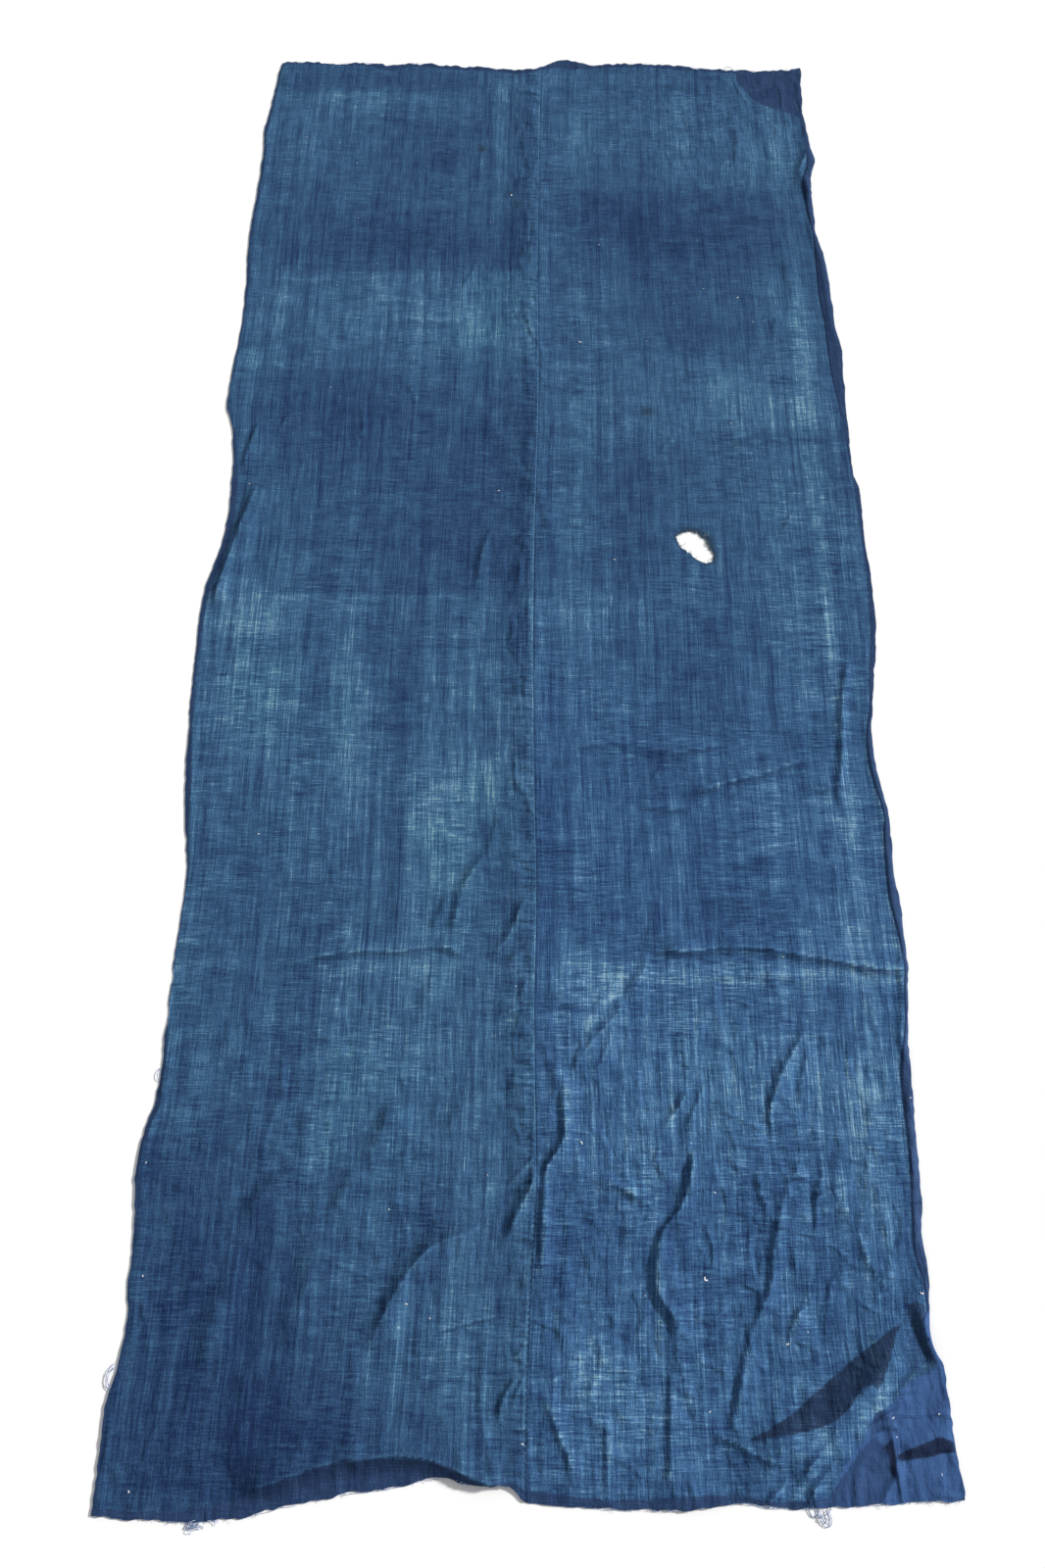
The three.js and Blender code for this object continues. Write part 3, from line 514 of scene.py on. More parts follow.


# Soft patches of the dye, two of them painted shade: x, y, half width and half height in millimetres, and how
# much paler in hundredths, negative where darker
PATCH_UNITS = (MM, MM, MM, MM, 100)
# Two darker patches of the left strip are painted shade: (-420, 720) the shade of the tuck at the left edge,
# and (-15, 760) the shade of a pucker beside the seam.
LEFT_PATCHES = np.array([
    (-360, 160, 150, 220, -20), (-250, 40, 200, 70, -22), (-430, 320, 30, 60, -14), (-290, 120, 30, 160, -10),
    (-370, 210, 50, 50, -8), (-220, 80, 50, 50, -6), (-246, 360, 20, 70, 7), (-235, 400, 20, 80, 10),
    (-180, 460, 70, 40, 12), (-190, 568, 140, 11, 12), (-120, 540, 150, 160, 10), (-100, 140, 100, 90, 10),
    (-120, 370, 120, 70, 5), (-390, 430, 40, 50, 6), (-370, 640, 100, 140, -3), (-430, 600, 16, 120, 22),
    (-150, 570, 50, 30, 8), (-280, 500, 40, 120, -8), (-240, 560, 20, 90, 8), (-100, 820, 110, 50, 18),
    (-80, 820, 30, 30, 10), (-130, 760, 50, 50, 10), (-110, 700, 60, 80, 6), (-370, 940, 80, 80, 16),
    (-400, 960, 25, 60, 10), (-370, 870, 50, 30, 8), (-240, 900, 22, 140, 16), (-250, 860, 20, 40, 10),
    (-240, 770, 18, 50, 10), (-175, 920, 18, 160, -22), (-220, 1020, 20, 50, -20), (-205, 760, 14, 100, -10),
    (-290, 940, 12, 120, -8), (-260, 980, 20, 50, 6), (-90, 960, 70, 60, 8), (-20, 930, 25, 20, 10),
    (-25, 1040, 20, 40, -16), (-30, 960, 30, 20, -8), (-420, 1070, 50, 50, 18), (-370, 1070, 70, 60, 8),
    (-170, 640, 15, 80, -10), (-15, 760, 10, 60, -14), (-420, 720, 20, 20, -12), (-330, 1280, 100, 100, 3),
    (-200, 1300, 160, 220, -10), (-50, 1280, 60, 180, -8), (-120, 1200, 100, 80, -5),
    (-190, 1280, 10, 300, 8), (-260, 1220, 20, 120, 5), (-350, 1150, 100, 50, 4), (-40, 1150, 20, 50, -10),
    (-290, 1420, 160, 80, -12),
    (-80, 1380, 20, 40, -12), (-10, 1400, 15, 80, -16), (-120, 1410, 15, 70, 10), (-440, 1470, 30, 40, 12),
    (-300, 1600, 180, 100, 10), (-100, 1600, 100, 90, 16), (-70, 1575, 25, 20, 14), (-10, 1570, 15, 30, 10),
    (-250, 1660, 25, 60, 14), (-180, 1620, 12, 140, 12), (-400, 1620, 12, 100, 14), (-420, 1520, 60, 20, 10),
    (-370, 1540, 30, 30, -8), (-200, 1770, 220, 80, -10), (-220, 1780, 100, 50, -7),
    (-40, 1800, 14, 120, -14), (-20, 1670, 50, 60, 10), (-130, 1870, 30, 80, 6), (-160, 1960, 100, 80, -8),
    (-150, 1950, 30, 30, -10),
    (-60, 2000, 12, 220, 12), (-400, 1970, 30, 60, 14), (-330, 2090, 140, 30, 14), (-360, 2020, 80, 50, 5),
    (-60, 2120, 30, 40, 14), (-180, 2040, 100, 50, -8), (-140, 2140, 60, 30, -10), (-270, 2140, 100, 20, -8),
    (-20, 2020, 20, 50, -8), (-320, 1870, 15, 80, 5), (-220, 800, 300, 280, 6),
]) / PATCH_UNITS
RIGHT_PATCHES = np.array([
    (220, 450, 200, 130, 14), (100, 100, 80, 80, 14), (70, 130, 40, 30, 10), (100, 350, 60, 40, 10),
    (390, 400, 30, 100, 22), (400, 420, 15, 20, 14), (390, 280, 20, 100, 12), (340, 430, 60, 50, 8),
    (210, 400, 40, 30, 8), (290, 566, 200, 12, 26), (390, 620, 50, 50, 20), (60, 565, 45, 30, 20),
    (65, 510, 22, 35, 24), (100, 550, 20, 30, 16), (30, 530, 30, 12, -10), (190, 250, 70, 100, -5),
    (250, 300, 40, 50, -8), (300, 240, 60, 60, -6), (40, 240, 40, 60, -6), (20, 720, 30, 80, -10),
    (65, 700, 12, 140, 10), (100, 635, 25, 20, -12), (200, 620, 120, 20, -6), (240, 680, 120, 80, -6),
    (160, 840, 40, 60, -10), (200, 800, 80, 30, -5), (120, 950, 25, 50, 10), (60, 950, 50, 80, 3),
    (190, 970, 90, 80, -8), (360, 770, 70, 60, 12), (400, 740, 20, 70, 12), (360, 970, 60, 60, 10),
    (400, 1060, 25, 50, 24), (60, 1070, 50, 40, 14), (160, 1080, 50, 30, 10), (250, 1060, 60, 30, -14),
    (330, 1070, 40, 40, 8), (420, 840, 30, 60, 4), (300, 880, 100, 60, -4), (405, 1300, 12, 550, 22),
    (425, 1200, 30, 140, 10), (330, 1150, 50, 120, 8), (360, 1280, 70, 80, 8), (65, 1350, 12, 450, 12),
    (50, 1220, 30, 50, 8), (20, 1170, 30, 60, -10), (150, 1300, 50, 50, -14), (160, 1170, 50, 40, -10),
    (120, 1400, 60, 50, 6), (310, 1460, 120, 90, 16), (260, 1450, 50, 50, 8), (390, 1420, 50, 30, 18),
    (380, 1375, 90, 18, -12), (100, 1500, 80, 100, 4), (270, 1570, 60, 50, -14), (170, 1620, 40, 60, -4),
    (60, 1620, 20, 50, 12), (360, 1670, 30, 60, 14), (410, 1600, 20, 100, 16), (240, 1780, 140, 120, -16),
    (165, 1780, 25, 100, -14), (80, 1820, 80, 60, -12), (80, 1870, 30, 30, -8), (360, 1760, 60, 100, -5),
    (20, 1750, 30, 50, 5), (100, 1670, 50, 30, 5), (240, 2020, 200, 120, 6), (245, 2000, 12, 120, 14),
    (70, 2010, 20, 40, 10), (50, 1980, 50, 120, 4), (100, 1930, 80, 30, -6), (260, 2090, 30, 30, 12),
    (180, 1950, 20, 80, -8), (400, 1990, 40, 80, 12), (340, 1930, 100, 40, 6), (100, 2090, 60, 12, -6),
    (20, 2120, 20, 30, 8), (270, 2130, 50, 15, -8), (220, 250, 350, 350, 7), (220, 800, 300, 250, 5),
]) / PATCH_UNITS
# Where the stored cloth was folded, its dye changes along a line: y, x from, x to and soft width in
# millimetres, the change in hundredths, and in millimetres how far it reaches above the line, or below it
# where negative
FOLD_LINES = np.array([
    (1885, 20, 440, 10, 9, 100), (1885, 20, 440, 10, -6, -120), (1098, -460, 170, 3, -9, 80),
    (1098, -460, 170, 3, 10, -50), (1702, -440, -10, 6, -10, 100), (1702, -440, -10, 6, 8, -80),
    (1500, -460, -200, 4, 8, 30), (1500, -460, -200, 4, -8, -60), (1395, 260, 460, 4, 8, 50),
    (2112, -450, -100, 4, -10, 30), (2112, -450, -100, 4, 8, -40), (1000, -300, 20, 4, 5, -60),
    (578, 130, 460, 3, 10, -30), (1595, -140, 0, 4, 10, -40),
]) / (MM, MM, MM, MM, 100, MM)
GROUND_FADE = 0.385
PATCH_STRENGTH = 0.82
LINE_STRENGTH = 0.55


def dye(x, y):
    """How faded the dye is: an even ground, soft patches, two of them painted shade, and steps along the old
    fold lines.
    """
    fade = np.full_like(x, GROUND_FADE)
    for patches, here in ((LEFT_PATCHES, x < 0), (RIGHT_PATCHES, x >= 0)):
        for px, py, wide, high, change in patches:
            away = ((x - px) / wide) ** 2 + ((y - py) / high) ** 2
            fade += PATCH_STRENGTH * change * np.exp(-1.1 * away) * here
    for line, start, stop, soft, change, reach in FOLD_LINES:
        beyond = (y - line) * np.sign(reach)
        step = smooth(0.5 + beyond / soft) * np.exp(-np.maximum(beyond, 0) / abs(reach))
        within = smooth((x - start) / 0.03) * smooth((stop - x) / 0.03)
        fade += LINE_STRENGTH * change * step * within
    return fade


# Unfaded margins, kept dark by old seams, and two stretches of painted shade at the edges: (place along the
# edge, width)
TOP_MARGIN = np.array([
    (-460, 10), (-420, 4), (-300, 6), (-260, 11), (-200, 8), (-120, 9), (0, 9), (50, 22), (100, 8), (200, 10),
    (300, 8), (360, 12), (460, 20),
]) / MM
# At the lower left the bottom margin reaches up to the crest of the lifted hem, so it also paints the shade
# on the hem's front face.
BOTTOM_MARGIN = np.array([
    (-460, 8), (-390, 8), (-343, 10), (-307, 16), (-256, 25), (-204, 30), (-172, 30), (-129, 24), (-97, 15),
    (-64, 8), (-43, 2), (0, 10), (80, 9), (160, 12), (240, 6), (340, 10), (460, 20),
]) / MM
# From about 300 to 480 mm up, the left margin is painted shade along the edge that is turned down.
LEFT_MARGIN = np.array([
    (0, 2), (260, 2), (310, 5), (470, 4), (520, 1), (700, 2), (800, 7), (950, 4), (1100, 7), (1250, 10),
    (1420, 2), (1700, 3), (2200, 5),
]) / MM
# The right margin's border: (height y, x), and (height y, how dark its line is)
RIGHT_LINE = np.array([
    (-20, 437), (60, 436), (110, 436), (140, 435), (156, 430), (172, 423.5), (184, 424.5), (193, 431),
    (211, 431), (227, 430), (240, 426.5), (260, 424), (300, 427), (350, 431), (450, 432), (510, 444),
    (550, 448), (580, 451), (620, 448), (660, 443), (700, 443), (750, 445), (770, 448), (790, 446),
    (820, 440), (860, 436), (900, 439), (930, 446), (980, 450.5), (1040, 460), (1150, 464), (1300, 461),
    (1420, 455), (1500, 448), (1600, 446.5), (1650, 443), (1740, 444), (1790, 443.5), (1820, 440),
    (1870, 437), (1905, 436.5), (1935, 446), (1980, 449), (2060, 445), (2200, 450),
]) / MM
RIGHT_LINE_DEPTH = np.array([
    (0, 0.2), (140, 0.5), (200, 1), (900, 1), (980, 0.35), (1400, 0.2), (1520, 0.9), (1920, 1), (2000, 0.4),
    (2200, 0.2),
]) / (MM, 1)
# Unfaded corners: the line that a pocket of the old seam left, dark on its left
TOP_CORNER = np.array([
    (344, 2200), (345, 2150), (352, 2128), (368, 2098), (390, 2082), (420, 2068), (460, 2050),
]) / MM
BOTTOM_CORNER = np.array([
    (480, 150), (433, 135), (409, 125), (397, 116), (386, 104), (376, 97), (362, 92), (357, 78), (348, 67),
    (330, 45), (318, 27), (310, 12), (304, -20),
]) / MM
WHOLE_CLOTH = 3.0


def left_of(x, y, points):
    """Distance to a line, positive on the left of the way it runs and negative on its right."""
    _, distance, _, left = near_crest(x, y, points, WHOLE_CLOTH)
    return np.where(left, distance, -distance)


def unfaded_or_edge_shade(x, y):
    """Distance into the nearest margin or corner that kept its dark dye, or into the painted shade of the
    lifted hem and the turned-down left edge; negative outside.
    """
    from_bottom = y - through(LOWER_EDGE, x)
    from_top = through(UPPER_EDGE, x) - y
    depth = np.maximum(through(BOTTOM_MARGIN, x) - from_bottom, through(TOP_MARGIN, x) - from_top)
    in_left_margin = through(LEFT_MARGIN, y) - edge_distance(x, y)
    depth = np.maximum(depth, np.where(x > 0, x - through(RIGHT_LINE, y), in_left_margin))
    near_top = np.where(y > 2.0, left_of(x, y, TOP_CORNER), -1.0)
    near_bottom = np.where((y < 0.2) & (x > 0.2), left_of(x, y, BOTTOM_CORNER), -1.0)
    return np.maximum.reduce([depth, near_top, near_bottom])


# Stains and dark spots: x, y and radius in millimetres, and strength
STAINS = np.array([(-92, 1975, 6, 1), (166, 1425, 9, 0.7), (-32, 1848, 7, 0.5), (135, 1678, 5, 0.35),
                   (296, 1362, 6, 0.4), (-41, 1875, 5, 0.6)]) / (MM, MM, MM, 1)


def stains(x, y):
    """Strength of the dark spots."""
    total = np.zeros_like(x)
    for px, py, radius, strength in STAINS:
        total += strength * np.exp(-((x - px) ** 2 + (y - py) ** 2) / radius**2)
    return total


def rim_radius(angle):
    """Radius of the hole towards an angle: through its rim's points, with ragged teeth."""
    away = HOLE_RIM - HOLE_CENTRE
    turn, radius = np.arctan2(away[:, 1], away[:, 0]), np.hypot(away[:, 0], away[:, 1])
    order = np.argsort(turn)
    turn, radius = turn[order], radius[order]
    turn = np.r_[turn[-2:] - 2 * math.pi, turn, turn[:2] + 2 * math.pi]
    radius = np.r_[radius[-2:], radius, radius[:2]]
    return through(np.c_[turn, radius], angle) + 0.0030 * (line_noise(angle + 10, 0.16, 21) - 0.5)


def hole_distance(x, y):
    """Distance outwards from the hole's rim, more on the lower left, where the rim isn't stained."""
    away_x, away_y = x - HOLE_CENTRE[0], y - HOLE_CENTRE[1]
    away = np.hypot(away_x, away_y)
    return away - rim_radius(np.arctan2(away_y, away_x)) + 0.0035 * (1 - (away_x + away_y) / (away + 1e-6))


def cloth_uv(x, y, right):
    """Place in the flat strip: distance from the seam, measured along the weft, and height along the warp.
    The warp bends only a quarter as much as the outer edge does."""
    seam = through(SEAM, y)
    edge = 0.25 * through(RIGHT_EDGE if right else LEFT_EDGE, y) + 0.75 * (0.452 if right else -0.450)
    across = (x - seam) / np.abs(edge - seam) * STRIP_WIDTH
    return np.stack([across + (2.0 if right else 0.0), y], axis=1)


def spread(spans):
    """Places from 0 on, at each span's pitch up to its reach, with an even number of steps."""
    places = [0.0]
    for reach, pitch in spans:
        count = 2 * max(1, round((reach - places[-1]) / pitch / 2))
        places += list(np.linspace(places[-1], reach, count + 1)[1:])
    return np.array(places)


def strip_places(right):
    """Grid of places in one strip, rows from the lower to the upper edge and columns from left to right.
    Both raw edges are ragged, and so is the outer edge; the teeth die away within a few threads."""
    rows, columns = spread(ROW_SPANS), spread(COLUMN_SPANS) / STRIP_WIDTH
    y = np.repeat(rows[:, None], len(columns), axis=1)
    for _ in range(2):
        seam = through(SEAM, y)
        edge = through(RIGHT_EDGE if right else LEFT_EDGE, y)
        teeth = 0.0014 * (line_noise(y, 0.007, 31 + right) - 0.5)
        teeth += 0.0022 * (line_noise(y, 0.023, 33 + right) - 0.5)
        start = seam - LAP_WIDTH if right else seam
        x = start + (edge - start) * columns + teeth * columns**12
        low, high = through(LOWER_EDGE, x), through(UPPER_EDGE, x)
        share = rows[:, None] / LENGTH
        y = low + (high - low) * share
        frayed = 0.0026 * (line_noise(x, 0.0066, 35) - 0.5)
        frayed += 0.0030 * (line_noise(x, 0.021, 36) - 0.5)
        y += frayed * (np.exp(-share / 0.0025) + 1.9 * np.exp((share - 1) / 0.0025))
    if not right:
        x, y = x[:, ::-1], y[:, ::-1]
    return x, y


def quads(index, keep=None):
    """Quads, facing up, between the neighbours in a grid of point numbers."""
    faces = np.stack([index[:-1, :-1], index[:-1, 1:], index[1:, 1:], index[1:, :-1]], axis=-1)
    return faces.reshape(-1, 4) if keep is None else faces[keep]


def lowest_near(grid):
    """The lowest of each grid value and its eight neighbours."""
    wide = np.pad(grid, 1, mode="edge")
    rows, columns = grid.shape
    shifted = [wide[i:i + rows, j:j + columns] for i in range(3) for j in range(3)]
    return np.minimum.reduce(shifted)


def hole_block(x, y):
    """Rows and columns of the block of cells that is taken out round the hole, an even number each way."""
    row_at = np.flatnonzero(np.abs(y[:, x.shape[1] // 2] - HOLE_CENTRE[1]) < HOLE_REACH)
    column_at = np.flatnonzero(np.abs(x[row_at[len(row_at) // 2]] - HOLE_CENTRE[0]) < HOLE_REACH)
    return row_at[0] // 2 * 2, row_at[-1] // 2 * 2, column_at[0] // 2 * 2, column_at[-1] // 2 * 2


def hole_rings(x, y, index, block):
    """Rings of places that run from the block's border to the hole's ragged rim, and their point numbers."""
    r0, r1, c0, c1 = block
    loop = np.concatenate([index[r0, c0:c1], index[r0:r1, c1], index[r1, c1:c0:-1], index[r1:r0:-1, c0]])
    border = np.stack([x.ravel()[loop], y.ravel()[loop]], axis=1)
    turn = np.arctan2(border[:, 1] - HOLE_CENTRE[1], border[:, 0] - HOLE_CENTRE[0])
    rim = HOLE_CENTRE + rim_radius(turn)[:, None] * np.stack([np.cos(turn), np.sin(turn)], axis=1)
    shares = np.linspace(0, 1, HOLE_RINGS + 1)[1:] ** RING_CROWDING
    rings = border + (rim - border) * shares[:, None, None]
    added = x.size + np.arange(HOLE_RINGS * len(loop)).reshape(-1, len(loop))
    numbers = np.concatenate([loop[None], added])
    return rings.reshape(-1, 2), np.c_[numbers, numbers[:, 0]]


def new_mesh(name, points, *faces):
    """A mesh object from points and arrays of faces, its place in its mesh."""
    mesh = bpy.data.meshes.new(name)
    corners = np.concatenate([part.ravel() for part in faces]).astype(np.int32)
    sides = np.concatenate([np.full(len(part), part.shape[1]) for part in faces])
    mesh.vertices.add(len(points))
    mesh.vertices.foreach_set("co", np.ascontiguousarray(points, np.float32).ravel())
    mesh.loops.add(len(corners))
    mesh.loops.foreach_set("vertex_index", corners)
    mesh.polygons.add(len(sides))
    mesh.polygons.foreach_set("loop_start", (np.cumsum(sides) - sides).astype(np.int32))
    mesh.update(calc_edges=True)
    mesh.validate()
    mesh.shade_smooth()
    obj = bpy.data.objects.new(name, mesh)
    bpy.context.scene.collection.objects.link(obj)
    return obj


def closed_sheet(upper, lower, lower_of):
    """Faces of a thin closed sheet: upper ones, lower ones turned over, with half as many points each way,
    and a wall along each edge, of three triangles for each lower step."""
    pairs = np.concatenate([np.stack([upper[:, k], upper[:, (k + 1) % 4]], axis=1) for k in range(4)])
    size = pairs.max() + 1
    rim = pairs[~np.isin(pairs[:, 0] * size + pairs[:, 1], pairs[:, 1] * size + pairs[:, 0])]
    after = np.full(size, -1)
    after[rim[:, 0]] = rim[:, 1]
    first = rim[:, 0][lower_of[rim[:, 0]] >= 0]
    middle, last = after[first], after[after[first]]
    low_first, low_last = lower_of[first], lower_of[last]
    walls = np.concatenate([np.stack([middle, first, low_first], axis=1),
                            np.stack([middle, low_first, low_last], axis=1),
                            np.stack([middle, low_last, last], axis=1)])
    return np.concatenate([upper, lower_of[lower][:, ::-1]]), walls


def strip(name, right):
    """One loom width as a thin closed sheet. Its underside has every second point of its upper side. The
    left strip climbs onto the right one at the seam, where its edge is turned."""
    x, y = strip_places(right)
    index = np.arange(x.size).reshape(x.shape)
    upper, lower = quads(index), quads(index[::2, ::2])
    rings = np.empty((0, 2))
    if right:
        r0, r1, c0, c1 = block = hole_block(x, y)
        keep = np.ones((x.shape[0] - 1, x.shape[1] - 1), bool)
        keep[r0:r1, c0:c1] = False
        rings, numbers = hole_rings(x, y, index, block)
        upper = np.concatenate([quads(index, keep), quads(numbers)])
        lower = np.concatenate([quads(index[::2, ::2], keep[::2, ::2]), quads(numbers[::2, ::2])])
    shape = x.shape
    x, y = np.r_[x.ravel(), rings[:, 0]], np.r_[y.ravel(), rings[:, 1]]
    low, fold_shade_and_pale = laid(x, y)
    high = low + THICKNESS
    low[:index.size] = lowest_near(low[:index.size].reshape(shape)).ravel()
    if not right:
        rise = lap_rise(x, y)
        to_seam = np.clip(through(SEAM, y) - x, 0, TURNED_EDGE) / TURNED_EDGE
        rounding = (1 - np.sqrt(1 - (1 - to_seam) ** 2)) * LAP_RISE * TURNED_DROP
        low, high = low + rise * UNDERSIDE_RISE, high + rise - rounding
    used = np.unique(lower)
    lower_of = np.full(len(x), -1)
    lower_of[used] = len(x) + np.arange(len(used))
    points = np.concatenate([np.c_[x, y, high], np.c_[x, y, low][used]])
    points[:, :2] -= MIDDLE
    obj = new_mesh(name, points, *closed_sheet(upper, lower, lower_of))
    obj.data.set_sharp_from_angle(angle=math.radians(70))
    both = np.r_[np.arange(len(x)), used]
    corners = np.empty(len(obj.data.loops), np.int32)
    obj.data.loops.foreach_get("vertex_index", corners)
    layer = obj.data.uv_layers.new(name="cloth")
    layer.data.foreach_set("uv", cloth_uv(x, y, right)[both][corners].astype(np.float32).ravel())
    values = {"fade": dye(x, y), "unfaded_or_edge_shade": unfaded_or_edge_shade(x, y), "seam": x - through(SEAM, y), "fold": fold_shade_and_pale,
              "crumple": crumple(x, y), "stain": stains(x, y), "hollow": hollows(x, y),
              "line": x - through(RIGHT_LINE, y) if right else -np.ones_like(x),
              "line_depth": through(RIGHT_LINE_DEPTH, y) * right,
              "hole": hole_distance(x, y) if right else np.ones_like(x)}
    for key, value in values.items():
        attribute = obj.data.attributes.new(key, "FLOAT", "POINT")
        attribute.data.foreach_set("value", value[both].astype(np.float32))
    return obj


class Number:
    """A socket with arithmetic: each operator adds one Math node to the material."""

    def __init__(self, finish, socket):
        self.finish, self.socket = finish, socket

    def math(self, operation, *others):
        node = self.finish.node("Math", {"operation": operation}, [self, *others])
        return Number(self.finish, node.outputs[0])

    def __add__(self, other):
        return self.math("ADD", other)

    def __mul__(self, other):
        return self.math("MULTIPLY", other)

    def __sub__(self, other):
        return self.math("SUBTRACT", other)

    def __rsub__(self, other):
        return (self * -1) + other

    def swing(self, weight):
        """From half the weight below 0 to half of it above, for a number from 0 to 1."""
        return (self - 0.5) * weight

    def step(self, low, high):
        """0 below low, 1 above high, smooth between; low above high turns it round."""
        settings = {"interpolation_type": "SMOOTHSTEP"}
        node = self.finish.node("MapRange", settings, {"Value": self, "From Min": low, "From Max": high})
        return Number(self.finish, node.outputs[0])


class Finish:
    """One material and the few kinds of node that the finishes need."""

    def __init__(self, name):
        self.material = bpy.data.materials.new(name)
        self.material.use_nodes = True
        self.tree = self.material.node_tree
        self.tree.nodes.clear()

    def node(self, kind, settings=None, inputs=None):
        """A node of a type, its settings made first, then the values or links of its sockets."""
        node = self.tree.nodes.new("ShaderNode" + kind)
        for key, value in (settings or {}).items():
            setattr(node, key, value)
        pairs = inputs.items() if isinstance(inputs, dict) else enumerate(inputs or [])
        for key, value in pairs:
            source = value.socket if isinstance(value, Number) else value
            if isinstance(source, bpy.types.NodeSocket):
                self.tree.links.new(source, node.inputs[key])
            else:
                node.inputs[key].default_value = source
        return node

    def value(self, name):
        """A named value that the mesh carries."""
        return Number(self, self.node("Attribute", {"attribute_name": name}).outputs["Fac"])

    def noise(self, place, fine_x, fine_y, detail=0.0, roughness=0.5, shift=0.0):
        """Noise from 0 to 1 whose grains are 1/fine_x wide and 1/fine_y high, in metres."""
        scaled = self.node("VectorMath", {"operation": "MULTIPLY"}, [place, (fine_x, fine_y, 1.0)])
        moved = self.node("VectorMath", {"operation": "ADD"}, [scaled.outputs[0], (shift, shift, 0.0)])
        inputs = {"Vector": moved.outputs[0], "Scale": 1.0, "Detail": detail, "Roughness": roughness}
        node = self.node("TexNoise", {"noise_dimensions": "2D"}, inputs)
        return Number(self, node.outputs["Fac"])

    def ramp(self, at, stops):
        """Colour through (place, colour) stops."""
        node = self.node("ValToRGB", None, {"Fac": at})
        band = node.color_ramp
        while len(band.elements) < len(stops):
            band.elements.new(0.5)
        for element, (place, colour) in zip(band.elements, stops):
            element.position, element.color = place, colour
        return node.outputs["Color"]

    def blend(self, share, first, second, how="MIX"):
        """Colour between two, by share."""
        settings = {"data_type": "RGBA", "blend_type": how}
        node = self.node("Mix", settings, {0: share, 6: first, 7: second})
        return node.outputs[2]

    def close(self, colour, roughness, bumps):
        """The surface: colour and roughness, with bumps as (height, distance) pairs, the coarse one first."""
        surface = {"Base Color": colour, "Roughness": roughness, "Specular IOR Level": 0.06}
        below = {}
        for height, distance in bumps:
            inputs = {"Height": height, "Distance": distance, "Strength": 1.0, **below}
            below = {"Normal": self.node("Bump", None, inputs).outputs[0]}
        shader = self.node("BsdfPrincipled", None, {**surface, **below})
        self.node("OutputMaterial", None, {"Surface": shader.outputs[0]})
        return self.material


def linear(*display):
    """A colour given as 0 to 255 display values, in the linear values that shaders use, and opaque."""
    return (*(((v / 255 + 0.055) / 1.055) ** 2.4 if v > 10 else v / 255 / 12.92 for v in display), 1.0)


# Indigo from unfaded to worn pale, and the other colours of the cloth
INDIGO = [(0.0, linear(27, 45, 84)), (0.20, linear(39, 64, 103)), (0.42, linear(52, 85, 124)),
          (0.62, linear(66, 104, 145)), (0.80, linear(88, 129, 163)), (1.0, linear(138, 173, 193))]
UNFADED = linear(40, 59, 93)
UNFADED_PALE_THREAD = linear(82, 114, 156)
UNFADED_MOTTLE = linear(30, 46, 84)
PURPLE = linear(60, 91, 141)
HEM = linear(56, 79, 118)
SHADE = linear(30, 39, 62)
STAIN = linear(40, 52, 60)
# Colours that the cloth's colour is multiplied by
GREENISH = (0.84, 1.06, 0.92, 1.0)
TEAL = (1.0, 0.99, 0.92, 1.0)
# DEEP is the dark that painted shade multiplies in: on the folds' steep sides, in the crevice and the stitch
# dimples; the stitches and the ink line use it too.
DEEP = (0.14, 0.16, 0.22, 1.0)
STITCH_PITCH = 0.0066


